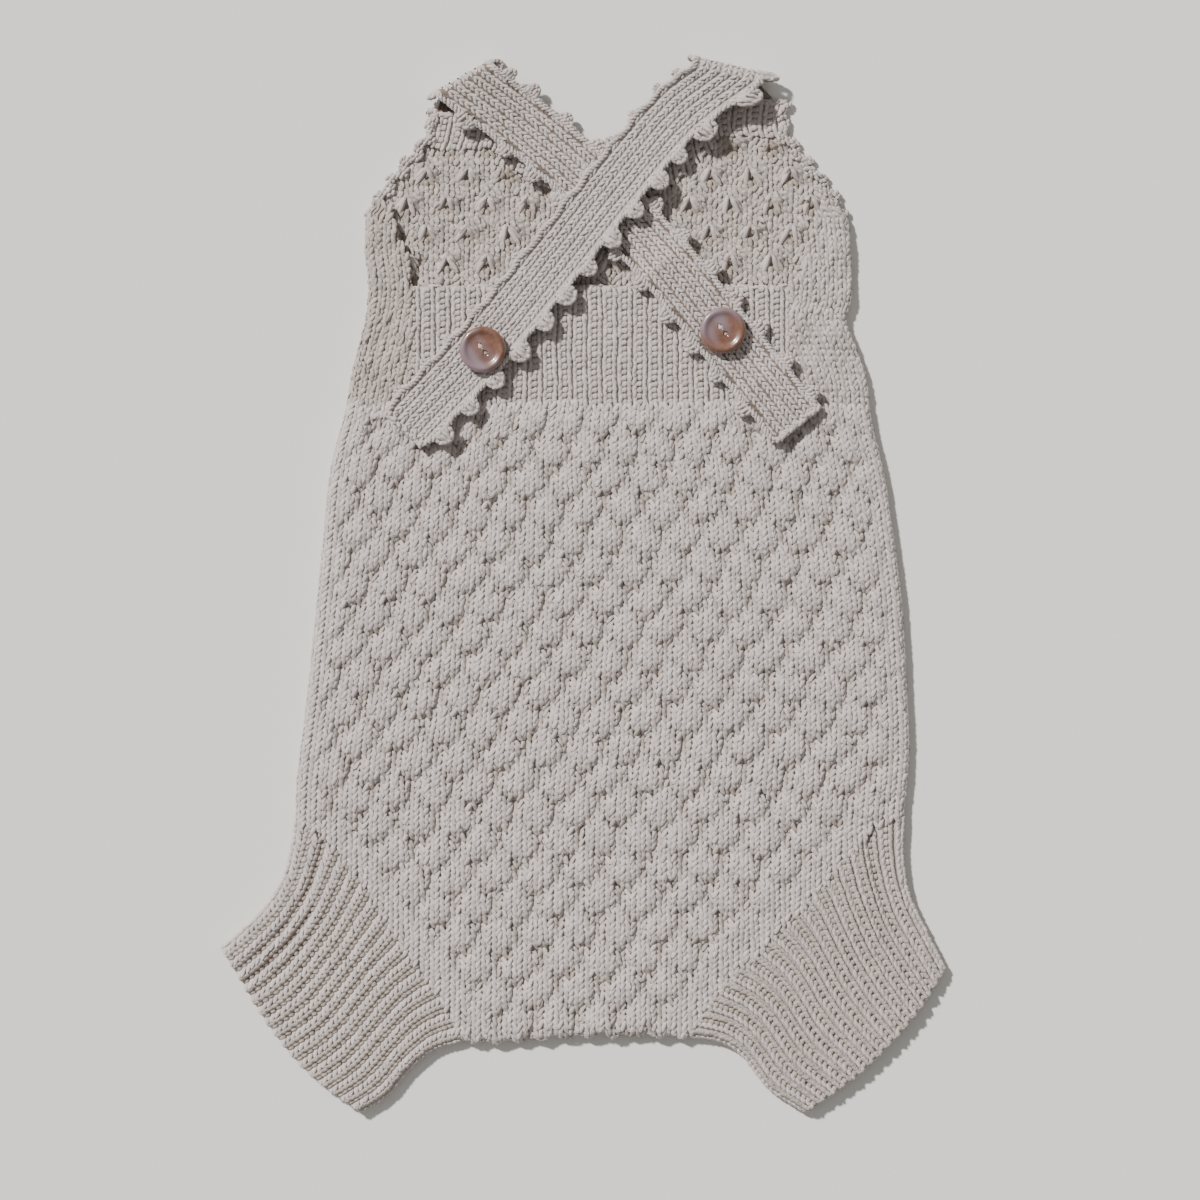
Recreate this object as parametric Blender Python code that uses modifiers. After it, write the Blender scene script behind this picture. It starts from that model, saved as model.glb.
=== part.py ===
"""Baby romper, hand knitted, laid flat on a surface with its back up.

The romper lies in two layers. The front (body, bib and neckband) is the lower one, flat on the
surface; the back (body, rib and the side strips that turn round from the front) lies on it. The
straps start at the bib, fold over at the top, cross on the back and are buttoned to the rib.

Plan sizes are in millimetres, x to the right and y towards the straps, and become metres when
a mesh is made. Heights are above the surface that the romper lies on.
"""

import math
from collections import namedtuple

import bmesh
import bpy
import numpy as np
from mathutils import Vector, geometry

MM = 0.001

# Layers and walls, in millimetres.
WALL = 2.2
LAYER_GAP = 0.4
SEAM_GAP = 0.3
LAY_GAP = 0.3
FOLD_RADIUS = 3.5
FOLD_LIP = 0.8
SEAM_ROUND = 0.6
UNDER_BACK = WALL + LAYER_GAP

# Bubble stitch of the body: pulled stitches sit at a fixed share of the width, row above row,
# and creases run slantwise between them, so that each bubble is a diamond.
BUBBLE_BASE = 1.5
BUBBLE_HEIGHT = 2.7
BUBBLE_CREASE = 0.34
BUBBLE_ROW = 11.4
BUBBLE_ROW_START = -34.4
BUBBLE_SHARE = 0.0679
BUBBLE_SHARE_START = 0.0935
BUBBLE_SAG_CENTRE = 56.0
BUBBLE_SAG = 0.00042
BUBBLE_ROUNDNESS = 0.7
PLAIN_EDGE_SHARE = 0.045
PLAIN_EDGE_LEVEL = 0.6

# Inside of the bib: the same stitch from its wrong side, raised where the stitches are pulled.
BIB_BASE = 1.5
BIB_RELIEF = 1.5
BIB_PITCH = 15.4
BIB_ROW = 11.0
BIB_START = (-53.4, 124.8)
BIB_FADE = 6.0
BIB_ROUND = 0.8
BIB_LIP = 1.0

# Which points of the two stitch lattices are tried: rows in halves and columns in quarters.
Lattice = namedtuple("Lattice", "rows columns margin")
BODY_LATTICE = Lattice(rows=(-26, 20), columns=(-6, 62), margin=4.7)
BIB_LATTICE = Lattice(rows=(-2, 12), columns=(-12, 44), margin=2.2)

# 1x1 rib: the height of one rib at shares of its width.
RIB_BASE = 1.6
RIB_HEIGHT = 1.1
RibPoint = namedtuple("RibPoint", "share height")
RIB_PROFILE = (
    RibPoint(0.0, 0.0),
    RibPoint(0.24, 0.8),
    RibPoint(0.5, 1.0),
    RibPoint(0.76, 0.8),
)
BACK_RIBS = 25
CUFF_RIBS = 16
BAND_RIBS = 26
BAND_DEPTH = 14.0
BAND_LEFT_FOOT = 0.76
BAND_RIGHT_FOOT = 0.70
BAND_CORNER = 6.0
BAND_THINNING = 12

# Straps.
STRAP_WIDTH = 23.0
STRAP_EDGE = 1.2
STRAP_LIP = 0.5
SCALLOP_PITCH = 13.8
SCALLOP_DEPTH = 3.4
SCALLOP_STEPS = 5
SCALLOP_INNER = 0.6
FOLD_STEPS = 5
LOWER_STEPS = 3
FOLD_SHEAR_FADE = 28.0
STRAP_END_RADIUS = 5.0
STRAP_SLOPE = 0.22
FOLD_SLOPE = 0.12

# Buttons: a turned dish with a raised rim and two thread holes.
BUTTON_DIAMETER = 17.5
BUTTON_THICKNESS = 3.4
BUTTON_HOLE = 1.9
BUTTON_HOLE_SPACING = 3.4
BUTTON_HOLE_TURN = -52.0
BUTTON_STEPS = 32
HOLE_SIDES = 12
ButtonPoint = namedtuple("ButtonPoint", "radius height")
BUTTON_PROFILE = (
    ButtonPoint(0.0, 0.60),
    ButtonPoint(0.50, 0.64),
    ButtonPoint(0.66, 0.86),
    ButtonPoint(0.80, 1.0),
    ButtonPoint(0.93, 0.90),
    ButtonPoint(1.0, 0.55),
    ButtonPoint(0.97, 0.25),
    ButtonPoint(0.80, 0.0),
    ButtonPoint(0.0, 0.0),
)

# Plan of the garment.
Point = namedtuple("Point", "x y")
LEFT_FOLD = (
    Point(-82.7, 139.0),
    Point(-82.9, 126.4),
    Point(-81.3, 112.0),
    Point(-83.2, 98.0),
    Point(-87.4, 82.0),
    Point(-90.3, 65.5),
    Point(-96.0, 42.8),
    Point(-99.2, 12.0),
    Point(-101.4, -10.0),
    Point(-105.1, -45.0),
    Point(-108.6, -73.0),
    Point(-109.3, -90.0),
)
RIGHT_FOLD = (
    Point(100.6, 138.0),
    Point(101.6, 124.0),
    Point(101.6, 108.0),
    Point(99.6, 100.0),
    Point(103.6, 89.0),
    Point(107.4, 77.0),
    Point(109.3, 62.0),
    Point(114.2, 41.0),
    Point(117.4, 20.0),
    Point(120.7, -6.0),
    Point(122.6, -35.0),
    Point(123.7, -64.0),
    Point(121.8, -88.0),
)
LEFT_JOIN = (
    Point(-109.3, -90.0),
    Point(-101.5, -94.0),
    Point(-92.0, -103.5),
    Point(-79.2, -120.5),
    Point(-69.0, -137.0),
    Point(-57.6, -152.0),
    Point(-49.6, -164.0),
    Point(-45.5, -173.8),
)
RIGHT_JOIN = (
    Point(121.8, -88.0),
    Point(109.5, -93.0),
    Point(101.0, -102.0),
    Point(89.5, -115.7),
    Point(78.5, -127.0),
    Point(62.0, -143.8),
    Point(50.0, -156.0),
    Point(39.5, -172.2),
)
CROTCH = (
    Point(-45.5, -173.8),
    Point(-31.0, -174.2),
    Point(-8.9, -172.4),
    Point(14.0, -171.9),
    Point(39.5, -172.2),
)
LEFT_CUFF_OUTER = (
    Point(-109.3, -90.0),
    Point(-110.6, -100.0),
    Point(-113.5, -111.5),
    Point(-120.3, -123.0),
    Point(-130.0, -132.8),
    Point(-137.4, -139.0),
)
LEFT_CUFF_HEM = (
    Point(-137.4, -139.0),
    Point(-122.4, -163.4),
    Point(-103.8, -186.5),
    Point(-84.6, -201.0),
)
LEFT_CUFF_INNER = (
    Point(-45.5, -173.8),
    Point(-56.5, -177.0),
    Point(-66.0, -184.5),
    Point(-74.5, -194.5),
    Point(-84.6, -201.0),
)
RIGHT_CUFF_OUTER = (
    Point(121.8, -88.0),
    Point(121.2, -103.0),
    Point(123.4, -118.0),
    Point(129.5, -131.5),
    Point(137.4, -147.0),
)
RIGHT_CUFF_HEM = (
    Point(137.4, -147.0),
    Point(123.5, -167.5),
    Point(105.0, -186.2),
    Point(84.4, -201.0),
)
RIGHT_CUFF_INNER = (
    Point(39.5, -172.2),
    Point(51.0, -173.8),
    Point(60.5, -179.5),
    Point(70.5, -192.0),
    Point(84.4, -201.0),
)
RIB_TOP = 112.5
RIB_BOTTOM = 67.5
RIB_LEFT = -65.0
RIB_RIGHT = 79.5

# Side strips, from the rib's foot upwards: where each one's free or seamed inner edge runs.
StripRow = namedtuple("StripRow", "y inner")
LEFT_STRIP = (
    StripRow(67.5, -65.0),
    StripRow(112.5, -65.0),
    StripRow(121.0, -65.8),
    StripRow(131.0, -70.2),
    StripRow(139.5, -72.5),
    StripRow(145.0, -76.2),
)
RIGHT_STRIP = (
    StripRow(67.5, 79.5),
    StripRow(112.5, 79.5),
    StripRow(119.0, 84.0),
    StripRow(129.0, 86.0),
    StripRow(139.0, 88.6),
    StripRow(146.0, 93.0),
)
STRIP_STATIONS = (0.0, 0.3, 1.2, FOLD_RADIUS)
STRIP_MIDDLE = 0.6
STRIP_NARROW = 2.4 * FOLD_RADIUS
STRIP_TIP = 4.0
STRIP_INNER_RISE = 0.7

# Bib: the sloping armhole edges and the neckline, which the band follows.
BIB_LEFT_EDGE = (
    Point(-82.0, 139.0),
    Point(-76.0, 149.0),
    Point(-67.8, 160.0),
    Point(-60.0, 169.5),
    Point(-57.6, 178.6),
)
BIB_RIGHT_EDGE = (
    Point(99.6, 139.0),
    Point(95.4, 147.4),
    Point(88.0, 157.0),
    Point(82.4, 163.6),
    Point(76.8, 172.0),
    Point(77.6, 183.6),
)
NECKLINE = (
    Point(-57.6, 178.6),
    Point(-43.0, 178.9),
    Point(-30.0, 178.2),
    Point(-14.6, 166.0),
    Point(12.0, 157.5),
    Point(31.0, 167.0),
    Point(45.0, 181.6),
    Point(60.0, 183.6),
    Point(77.6, 183.6),
)
ARMHOLE_SCALLOP = 1.6

# Straps: where each starts on the band, its fold line, and its run down the back.
StrapPlan = namedtuple("StrapPlan", "start fold run fold_height")
STRAP_RIGHT = StrapPlan(
    start=(Point(44.4, 183.6), Point(73.2, 184.4)),
    fold=(Point(38.0, 196.4), Point(70.4, 188.4)),
    run=(
        Point(54.2, 192.4),
        Point(34.0, 176.9),
        Point(10.8, 149.6),
        Point(-11.2, 122.2),
        Point(-38.2, 89.6),
        Point(-68.2, 57.4),
    ),
    fold_height=7.6,
)
STRAP_LEFT = StrapPlan(
    start=(Point(-56.6, 179.2), Point(-30.2, 180.6)),
    fold=(Point(-56.8, 182.0), Point(-31.6, 196.8)),
    run=(
        Point(-44.2, 189.4),
        Point(-24.1, 175.0),
        Point(-3.2, 157.2),
        Point(15.8, 138.4),
        Point(34.8, 117.0),
        Point(52.6, 95.0),
        Point(81.4, 59.2),
    ),
    fold_height=6.2,
)
BUTTON_LEFT_AT = Point(-38.2, 88.2)
BUTTON_RIGHT_AT = Point(52.8, 95.4)

# Steps of the meshes, in millimetres.
OUTLINE_STEP = 4.2
FRONT_STEP = 6.5
EDGE_TURNS = (0.0, 0.4, 1.0)
CUFF_STEPS = 6
CUFF_FRONT_SHARES = (0.0, 0.012, 0.03, 0.06, 0.2, 0.35, 0.5, 0.65, 0.8, 0.94, 0.97, 0.988, 1.0)
BAND_STEPS = 3
BAND_SAMPLES = 6
SMOOTH_SAMPLES = 24

YARN = (0.47, 0.42, 0.39)
SHELL = (0.42, 0.22, 0.17)


# --- curves in plan ---------------------------------------------------------------------------

def smooth(points, samples=SMOOTH_SAMPLES):
    """Dense points on a Catmull-Rom curve through the given ones."""
    knots = np.array(points, float)
    padded = np.vstack([2 * knots[0] - knots[1], knots, 2 * knots[-1] - knots[-2]])
    share = np.linspace(0, 1, samples, endpoint=False)[:, None]
    pieces = []
    for a, b, c, d in zip(padded, padded[1:], padded[2:], padded[3:]):
        pieces.append(0.5 * (2 * b + (c - a) * share + (2 * a - 5 * b + 4 * c - d) * share ** 2
                             + (3 * b - a - 3 * c + d) * share ** 3))
    return np.vstack(pieces + [knots[-1:]])


def lengths(curve):
    """Distance along a polyline to each of its points."""
    return np.concatenate([[0.0], np.cumsum(np.linalg.norm(np.diff(curve, axis=0), axis=1))])


def along(curve, distances):
    """Points of a polyline at given distances from its start."""
    reach = lengths(curve)
    return np.stack([np.interp(distances, reach, curve[:, k]) for k in range(curve.shape[1])], axis=-1)


def spaced(curve, shares):
    """Points of a polyline at given shares of its length."""
    return along(curve, np.asarray(shares) * lengths(curve)[-1])


def stepped(curve, step=OUTLINE_STEP):
    """A polyline made again with even steps of about the given size."""
    count = max(2, round(lengths(curve)[-1] / step) + 1)
    return spaced(curve, np.linspace(0, 1, count))


def side_normals(curve):
    """Unit vectors to the left of travel at each point of a polyline."""
    ahead = np.gradient(curve, axis=0)
    ahead /= np.linalg.norm(ahead, axis=1)[:, None]
    return np.stack([-ahead[:, 1], ahead[:, 0]], axis=-1)


def shifted(curve, distance):
    """A polyline moved to the left of its travel."""
    return curve + side_normals(curve) * distance


def loop_normals(loop):
    """Inward unit vectors of an anticlockwise closed loop."""
    ahead = np.roll(loop, -1, axis=0) - np.roll(loop, 1, axis=0)
    ahead /= np.linalg.norm(ahead, axis=1)[:, None]
    return np.stack([-ahead[:, 1], ahead[:, 0]], axis=-1)


def fold_x(points):
    """The x of a side fold as a function of y."""
    curve = smooth(points)
    order = np.argsort(curve[:, 1])
    return lambda y: np.interp(y, curve[order, 1], curve[order, 0])


LEFT_AT = fold_x(LEFT_FOLD)
RIGHT_AT = fold_x(RIGHT_FOLD)


# --- relief -----------------------------------------------------------------------------------

def smoothstep(value):
    """0 to 1 with level ends."""
    value = np.clip(value, 0.0, 1.0)
    return value * value * (3 - 2 * value)


def bubble(across, rows):
    """Bubble stitch, 0 at the pulled stitches, low on the creases and 1 on each bubble's crown."""
    rising = np.abs(np.sin(math.pi * (across + rows / 2)))
    falling = np.abs(np.sin(math.pi * (across - rows / 2)))
    crown = (rising * falling) ** BUBBLE_ROUNDNESS
    crease = np.maximum(rising, falling) * BUBBLE_CREASE
    return np.maximum(crown, crease)


def bubble_top(x, y):
    """Height of the back's bubble stitch."""
    share = (x - LEFT_AT(y)) / (RIGHT_AT(y) - LEFT_AT(y))
    across = (share - BUBBLE_SHARE_START) / BUBBLE_SHARE
    rows = (y - BUBBLE_ROW_START + BUBBLE_SAG * (x - BUBBLE_SAG_CENTRE) ** 2) / BUBBLE_ROW
    edge = smoothstep(np.minimum(share, 1 - share) / PLAIN_EDGE_SHARE - 0.5)
    relief = PLAIN_EDGE_LEVEL + (bubble(across, rows) - PLAIN_EDGE_LEVEL) * edge
    return UNDER_BACK + BUBBLE_BASE + BUBBLE_HEIGHT * relief


def bib_top(x, y):
    """Height of the bib's inner side, plain where the straps' ends and side strips cover it."""
    raised = 1 - bubble((x - BIB_START[0]) / BIB_PITCH, (y - BIB_START[1]) / BIB_ROW)
    shown = smoothstep((y - RIB_TOP) / BIB_FADE)
    for rows, side in ((LEFT_STRIP, 1), (RIGHT_STRIP, -1)):
        inner = np.interp(y, [row.y for row in rows], [row.inner for row in rows])
        shown = shown * smoothstep(((x - inner) * side) / BIB_FADE)
    return BIB_BASE + BIB_RELIEF * raised * shown


def rib_stations(count):
    """Shares across a ribbed piece and the height of the rib at each."""
    shares = [(rib + point.share) / count for rib in range(count) for point in RIB_PROFILE]
    heights = [point.height for point in RIB_PROFILE] * count
    return np.array(shares + [1.0]), np.array(heights + [0.0])


# --- meshes -----------------------------------------------------------------------------------

def material(name, colour, roughness):
    """A Principled material."""
    made = bpy.data.materials.new(name)
    made.use_nodes = True
    shader = made.node_tree.nodes["Principled BSDF"]
    shader.inputs["Base Color"].default_value = (*colour, 1.0)
    shader.inputs["Roughness"].default_value = roughness
    shader.inputs["Metallic"].default_value = 0.0
    return made


def add_object(name, mesh, finish, collection):
    """Put a mesh in the garment's collection with its finish."""
    mesh.materials.append(finish)
    made = bpy.data.objects.new(name, mesh)
    collection.objects.link(made)
    return made


def mesh_from(name, points, faces):
    """A mesh from points in millimetres; faces are turned to point out."""
    mesh = bpy.data.meshes.new(name)
    mesh.from_pydata([tuple(np.asarray(point) * MM) for point in points], [], faces)
    work = bmesh.new()
    work.from_mesh(mesh)
    bmesh.ops.recalc_face_normals(work, faces=work.faces)
    work.to_mesh(mesh)
    work.free()
    return mesh


def ring_faces(low, high):
    """Quads between two closed rings of as many points."""
    count = len(low)
    return [(low[k], low[(k + 1) % count], high[(k + 1) % count], high[k]) for k in range(count)]


def border(rows, columns):
    """Indices of a grid's border, anticlockwise from its first point."""
    low = list(range(columns))
    right = [row * columns + columns - 1 for row in range(1, rows)]
    high = [(rows - 1) * columns + column for column in range(columns - 2, -1, -1)]
    left = [row * columns for row in range(rows - 2, 0, -1)]
    return low + right + high + left


def grid_faces(rows, columns, start=0):
    """Quads of a grid of points."""
    faces = []
    for row in range(rows - 1):
        for column in range(columns - 1):
            first = start + row * columns + column
            faces.append((first, first + 1, first + columns + 1, first + columns))
    return faces


def slab_mesh(name, upper, under):
    """A wall with a shaped grid on one side and one plain level side."""
    rows, columns, _ = upper.shape
    points = list(upper.reshape(-1, 3))
    faces = grid_faces(rows, columns)
    rim = border(rows, columns)
    plain = []
    for index in rim:
        plain.append(len(points))
        points.append((points[index][0], points[index][1], under))
    faces += ring_faces(rim, plain)
    faces.append(plain[::-1])
    return mesh_from(name, points, faces)


def shell_mesh(name, upper, lower):
    """A wall between two grids of the same shape."""
    rows, columns, _ = upper.shape
    points = list(upper.reshape(-1, 3)) + list(lower.reshape(-1, 3))
    faces = grid_faces(rows, columns) + grid_faces(rows, columns, rows * columns)
    rim = border(rows, columns)
    faces += ring_faces(rim, [index + rows * columns for index in rim])
    return mesh_from(name, points, faces)


def panel_mesh(name, loop, radii, shaped, plain, lip, lattice=((), ())):
    """A wall inside a closed outline, with its edge rounded over and one plain level side.

    loop is the anticlockwise outline, radii its rounding at each point, shaped(x, y) the height
    of the shaped side, plain the level of the other and lip the edge's height from plain. The
    lattice is the shaped side's inner points, and the pairs of them that an edge joins.
    """
    inward = loop_normals(loop)
    points = []
    rings = []
    for turn in EDGE_TURNS:
        lean = 1 - math.cos(turn * math.pi / 2)
        rise = math.sin(turn * math.pi / 2)
        ring = []
        for place, normal, radius, edge in zip(loop, inward, radii, lip):
            spot = place + normal * radius * lean
            inside = place + normal * radius
            height = shaped(inside[0], inside[1])
            level = plain + edge
            ring.append(len(points))
            points.append((spot[0], spot[1], level + (height - level) * rise))
        rings.append(ring)
    faces = []
    for low, high in zip(rings, rings[1:]):
        faces += ring_faces(low, high)
    level_ring = []
    for place in loop:
        level_ring.append(len(points))
        points.append((place[0], place[1], plain))
    faces += ring_faces(level_ring, rings[0])
    faces.append(level_ring[::-1])

    inner_ring = [points[index] for index in rings[-1]]
    inner_points, joined = lattice
    spots = [point[:2] for point in inner_ring] + [tuple(point) for point in inner_points]
    edges = [(k, (k + 1) % len(inner_ring)) for k in range(len(inner_ring))]
    edges += [(a + len(inner_ring), b + len(inner_ring)) for a, b in joined]
    found, _, triangles, origin, _, _ = geometry.delaunay_2d_cdt(spots, edges, [], 1, 1e-6)
    index_of = {}
    for new, (spot, sources) in enumerate(zip(found, origin)):
        if sources and sources[0] < len(inner_ring):
            index_of[new] = rings[-1][sources[0]]
        else:
            index_of[new] = len(points)
            points.append((spot[0], spot[1], shaped(spot[0], spot[1])))
    faces += [tuple(index_of[k] for k in triangle) for triangle in triangles]
    used = sorted({index for face in faces for index in face})
    renumber = {old: new for new, old in enumerate(used)}
    faces = [tuple(renumber[index] for index in face) for face in faces]
    return mesh_from(name, [points[index] for index in used], faces)


def is_inside(loop, spot, margin):
    """Whether a point lies inside a loop by more than a margin."""
    ends = np.roll(loop, -1, axis=0)
    crossings = (loop[:, 1] > spot[1]) != (ends[:, 1] > spot[1])
    rise = np.where(crossings, ends[:, 1] - loop[:, 1], 1.0)
    reach = loop[:, 0] + (spot[1] - loop[:, 1]) * (ends[:, 0] - loop[:, 0]) / rise
    inside = np.count_nonzero(crossings & (spot[0] < reach)) % 2
    side = ends - loop
    share = np.clip(((spot - loop) * side).sum(1) / (side * side).sum(1), 0, 1)
    nearest = np.linalg.norm(loop + side * share[:, None] - spot, axis=1).min()
    return bool(inside) and nearest > margin


def stitch_lattice(loop, place, lattice):
    """Points on the crowns, creases and pulls of a bubble stitch inside a loop, and its edges.

    place(across, row) is a point of the stitch. The edges run along the creases and round each
    crown.
    """
    spots = []
    number = {}
    for row in range(*lattice.rows):
        for column in range(*lattice.columns):
            spot = place(column / 4, row / 2)
            if is_inside(loop, spot, lattice.margin):
                number[column, row] = len(spots)
                spots.append(spot)
    joined = []
    for (column, row), here in number.items():
        for lean in (1, -1):
            there = number.get((column + lean, row + 1))
            around_crown = 1 if (row % 2 == 0) == (lean == 1) else 3
            if there is not None and (column - lean * row) % 4 in (0, around_crown):
                joined.append((here, there))
    return spots, joined


# --- body -------------------------------------------------------------------------------------

def fold_between(points, low, high):
    """The stretch of a side fold between two heights, from low to high."""
    curve = smooth(points)[::-1]
    chosen = curve[(curve[:, 1] > low) & (curve[:, 1] < high)]
    at = fold_x(points)
    return np.vstack([[at(low), low], chosen, [at(high), high]])


def body_outline(top, step):
    """The body's outline up to a height: loop, and whether each point is on a fold."""
    lift = SEAM_GAP / 2
    stretches = (
        (smooth(CROTCH), True),
        (shifted(smooth(RIGHT_JOIN)[::-1], lift), False),
        (fold_between(RIGHT_FOLD, RIGHT_FOLD[-1].y + lift, top), True),
        (np.array([[RIGHT_AT(top), top], [LEFT_AT(top), top]]), False),
        (fold_between(LEFT_FOLD, LEFT_FOLD[-1].y + lift, top)[::-1], True),
        (shifted(smooth(LEFT_JOIN), lift), False),
    )
    loop = []
    folded = []
    for curve, is_fold in stretches:
        part = stepped(curve, step)[:-1]
        loop.extend(part)
        folded.extend([is_fold] * len(part))
    return np.array(loop), np.array(folded, float)


def edge_rounding(folded):
    """Rounding radius of each outline point: wide at folds and narrow at seams, blended."""
    blended = folded.copy()
    for _ in range(2):
        blended = (np.roll(blended, 1) + blended + np.roll(blended, -1)) / 3
    return SEAM_ROUND + (FOLD_RADIUS - SEAM_ROUND) * blended


def bubble_place(across, row):
    """Where a point of the back's bubble stitch lies."""
    level = BUBBLE_ROW_START + BUBBLE_ROW * row
    left = LEFT_AT(max(level, LEFT_FOLD[-1].y))
    right = RIGHT_AT(max(level, RIGHT_FOLD[-1].y))
    x = left + (right - left) * (BUBBLE_SHARE_START + BUBBLE_SHARE * across)
    return np.array([x, level - BUBBLE_SAG * (x - BUBBLE_SAG_CENTRE) ** 2])


def make_body(finish, collection):
    """Front and back of the body."""
    loop, folded = body_outline(RIB_BOTTOM - SEAM_GAP, OUTLINE_STEP)
    radii = edge_rounding(folded)
    lip = FOLD_LIP + (BUBBLE_BASE - FOLD_LIP) * (1 - folded)
    lattice = stitch_lattice(loop, bubble_place, BODY_LATTICE)
    back = panel_mesh("body_back", loop, radii, bubble_top, UNDER_BACK, lip, lattice)
    add_object("body_back", back, finish, collection)

    loop, folded = body_outline(RIB_TOP - SEAM_GAP, FRONT_STEP)
    radii = edge_rounding(folded)
    lip = np.where(folded > 0, -FOLD_LIP, SEAM_GAP - WALL)
    front = panel_mesh("body_front", loop, radii, lambda x, y: 0.0, WALL, lip)
    add_object("body_front", front, finish, collection)


# --- cuffs ------------------------------------------------------------------------------------

def coons(start, end, first, last, across, down):
    """Points of a patch between four curves: start and end across it, first and last down it."""
    a = spaced(start, across)[None, :, :]
    b = spaced(end, across)[None, :, :]
    c = spaced(first, down)[:, None, :]
    d = spaced(last, down)[:, None, :]
    u = np.asarray(across)[None, :, None]
    v = np.asarray(down)[:, None, None]
    corners = ((1 - u) * (1 - v) * start[0] + u * (1 - v) * start[-1]
               + (1 - u) * v * end[0] + u * v * end[-1])
    return (1 - v) * a + v * b + (1 - u) * c + u * d - corners


def fold_profile(plan, radius):
    """0 to 1 rise of a folded wall from its two side edges."""
    reach = np.linalg.norm(plan - plan[:, :1], axis=2)
    other = np.linalg.norm(plan - plan[:, -1:], axis=2)
    near = np.clip(np.minimum(reach, other) / radius, 0, 1)
    return np.sqrt(1 - (1 - near) ** 2)


def make_cuff(name, join, outer, hem, inner, finish, collection):
    """Upper and lower half of one ribbed cuff, from its seam to its hem."""
    seam = shifted(smooth(join), math.copysign(SEAM_GAP / 2, join[0].x))
    end = smooth(hem)
    first = np.vstack([seam[:1], smooth(outer)[1:]])
    last = np.vstack([seam[-1:], smooth(inner)[1:]])
    down = np.linspace(0, 1, CUFF_STEPS)

    shares, ribs = rib_stations(CUFF_RIBS)
    plan = coons(seam, end, first, last, shares, down)
    top = UNDER_BACK + RIB_BASE + RIB_HEIGHT * ribs[None, :]
    low = UNDER_BACK + FOLD_LIP
    height = low + (top - low) * fold_profile(plan, FOLD_RADIUS)
    back = slab_mesh(name + "_back", np.dstack([plan, height]), UNDER_BACK)
    add_object(name + "_back", back, finish, collection)

    plan = coons(seam, end, first, last, CUFF_FRONT_SHARES, down)
    depth = (WALL - FOLD_LIP) * (1 - fold_profile(plan, FOLD_RADIUS))
    front = slab_mesh(name + "_front", np.dstack([plan, depth]), WALL)
    add_object(name + "_front", front, finish, collection)


# --- upper back and side strips ---------------------------------------------------------------

def make_back_rib(finish, collection):
    """The ribbed band at the top of the back."""
    shares, ribs = rib_stations(BACK_RIBS)
    inset = SEAM_GAP / 2
    x = (RIB_LEFT + inset) + (RIB_RIGHT - RIB_LEFT - 2 * inset) * shares
    plan_x, plan_y = np.meshgrid(x, [RIB_BOTTOM, RIB_TOP])
    height = UNDER_BACK + RIB_BASE + RIB_HEIGHT * np.tile(ribs, (2, 1))
    upper = np.dstack([plan_x, plan_y, height])
    add_object("back_rib", slab_mesh("back_rib", upper, UNDER_BACK), finish, collection)


def make_side_strip(name, fold, strip, finish, collection):
    """A plain strip of the front, turned round the side, with a scalloped edge beside the bib."""
    low = strip[0].y
    high = strip[-1].y
    outward = math.copysign(1, fold[0].x)
    count = round((high - low) / (SCALLOP_PITCH / 4)) + 1
    levels = np.linspace(low, high, count)
    inner_x = np.interp(levels, [row.y for row in strip], [row.inner for row in strip])
    free = levels > RIB_TOP + 1
    waves = np.abs(np.sin(math.pi * (levels - RIB_TOP) / SCALLOP_PITCH))
    scallops = np.where(free, ARMHOLE_SCALLOP * (waves - 0.5), 0)
    inner_x = inner_x + outward * (SEAM_GAP / 2 - scallops)
    at = fold_x(fold)
    outer_x = at(np.minimum(levels, fold[0].y))
    closing = smoothstep((levels - fold[0].y) / (high - fold[0].y))
    outer_x = outer_x + (inner_x + outward * STRIP_TIP - outer_x) * closing
    rows = []
    for y, start, end in zip(levels, outer_x, inner_x):
        width = abs(end - start)
        turned = np.array(STRIP_STATIONS) * min(1.0, width / STRIP_NARROW)
        across = np.concatenate([turned, [width * STRIP_MIDDLE, width]])
        near = np.clip(across / FOLD_RADIUS, 0, 1)
        rise = np.sqrt(1 - (1 - near) ** 2)
        rise[-1] = STRIP_INNER_RISE
        height = UNDER_BACK + FOLD_LIP + (WALL - FOLD_LIP) * rise
        level = np.full(len(across), y)
        rows.append(np.stack([start - outward * across, level, height], axis=-1))
    add_object(name, slab_mesh(name, np.array(rows), UNDER_BACK), finish, collection)


# --- bib --------------------------------------------------------------------------------------

def scalloped(curve, depth):
    """A curve with shallow scallops to the left of its travel, level at its ends."""
    reach = lengths(curve)
    count = max(1, round(reach[-1] / SCALLOP_PITCH))
    steps = np.linspace(0, reach[-1], count * 4 + 1)
    places = along(curve, steps)
    waves = np.abs(np.sin(math.pi * steps * count / reach[-1]))
    return places + side_normals(places) * (depth * waves)[:, None]


def band_edges():
    """The neckband's upper and lower edge, from left to right."""
    upper = smooth(NECKLINE)
    lower = shifted(upper, -BAND_DEPTH)
    keep = np.maximum.accumulate(lower[:, 0]) <= lower[:, 0]
    lower = lower[keep]
    left = spaced(smooth(BIB_LEFT_EDGE), [BAND_LEFT_FOOT])
    right = spaced(smooth(BIB_RIGHT_EDGE), [BAND_RIGHT_FOOT])
    between = (lower[:, 0] > left[0, 0] + BAND_CORNER) & (lower[:, 0] < right[0, 0] - BAND_CORNER)
    inner = lower[between][::BAND_THINNING]
    return upper, smooth(np.vstack([left, inner, right]), BAND_SAMPLES)


def bib_place(across, row):
    """Where a point of the bib's stitch lies."""
    return np.array([BIB_START[0] + BIB_PITCH * across, BIB_START[1] + BIB_ROW * row])


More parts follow.
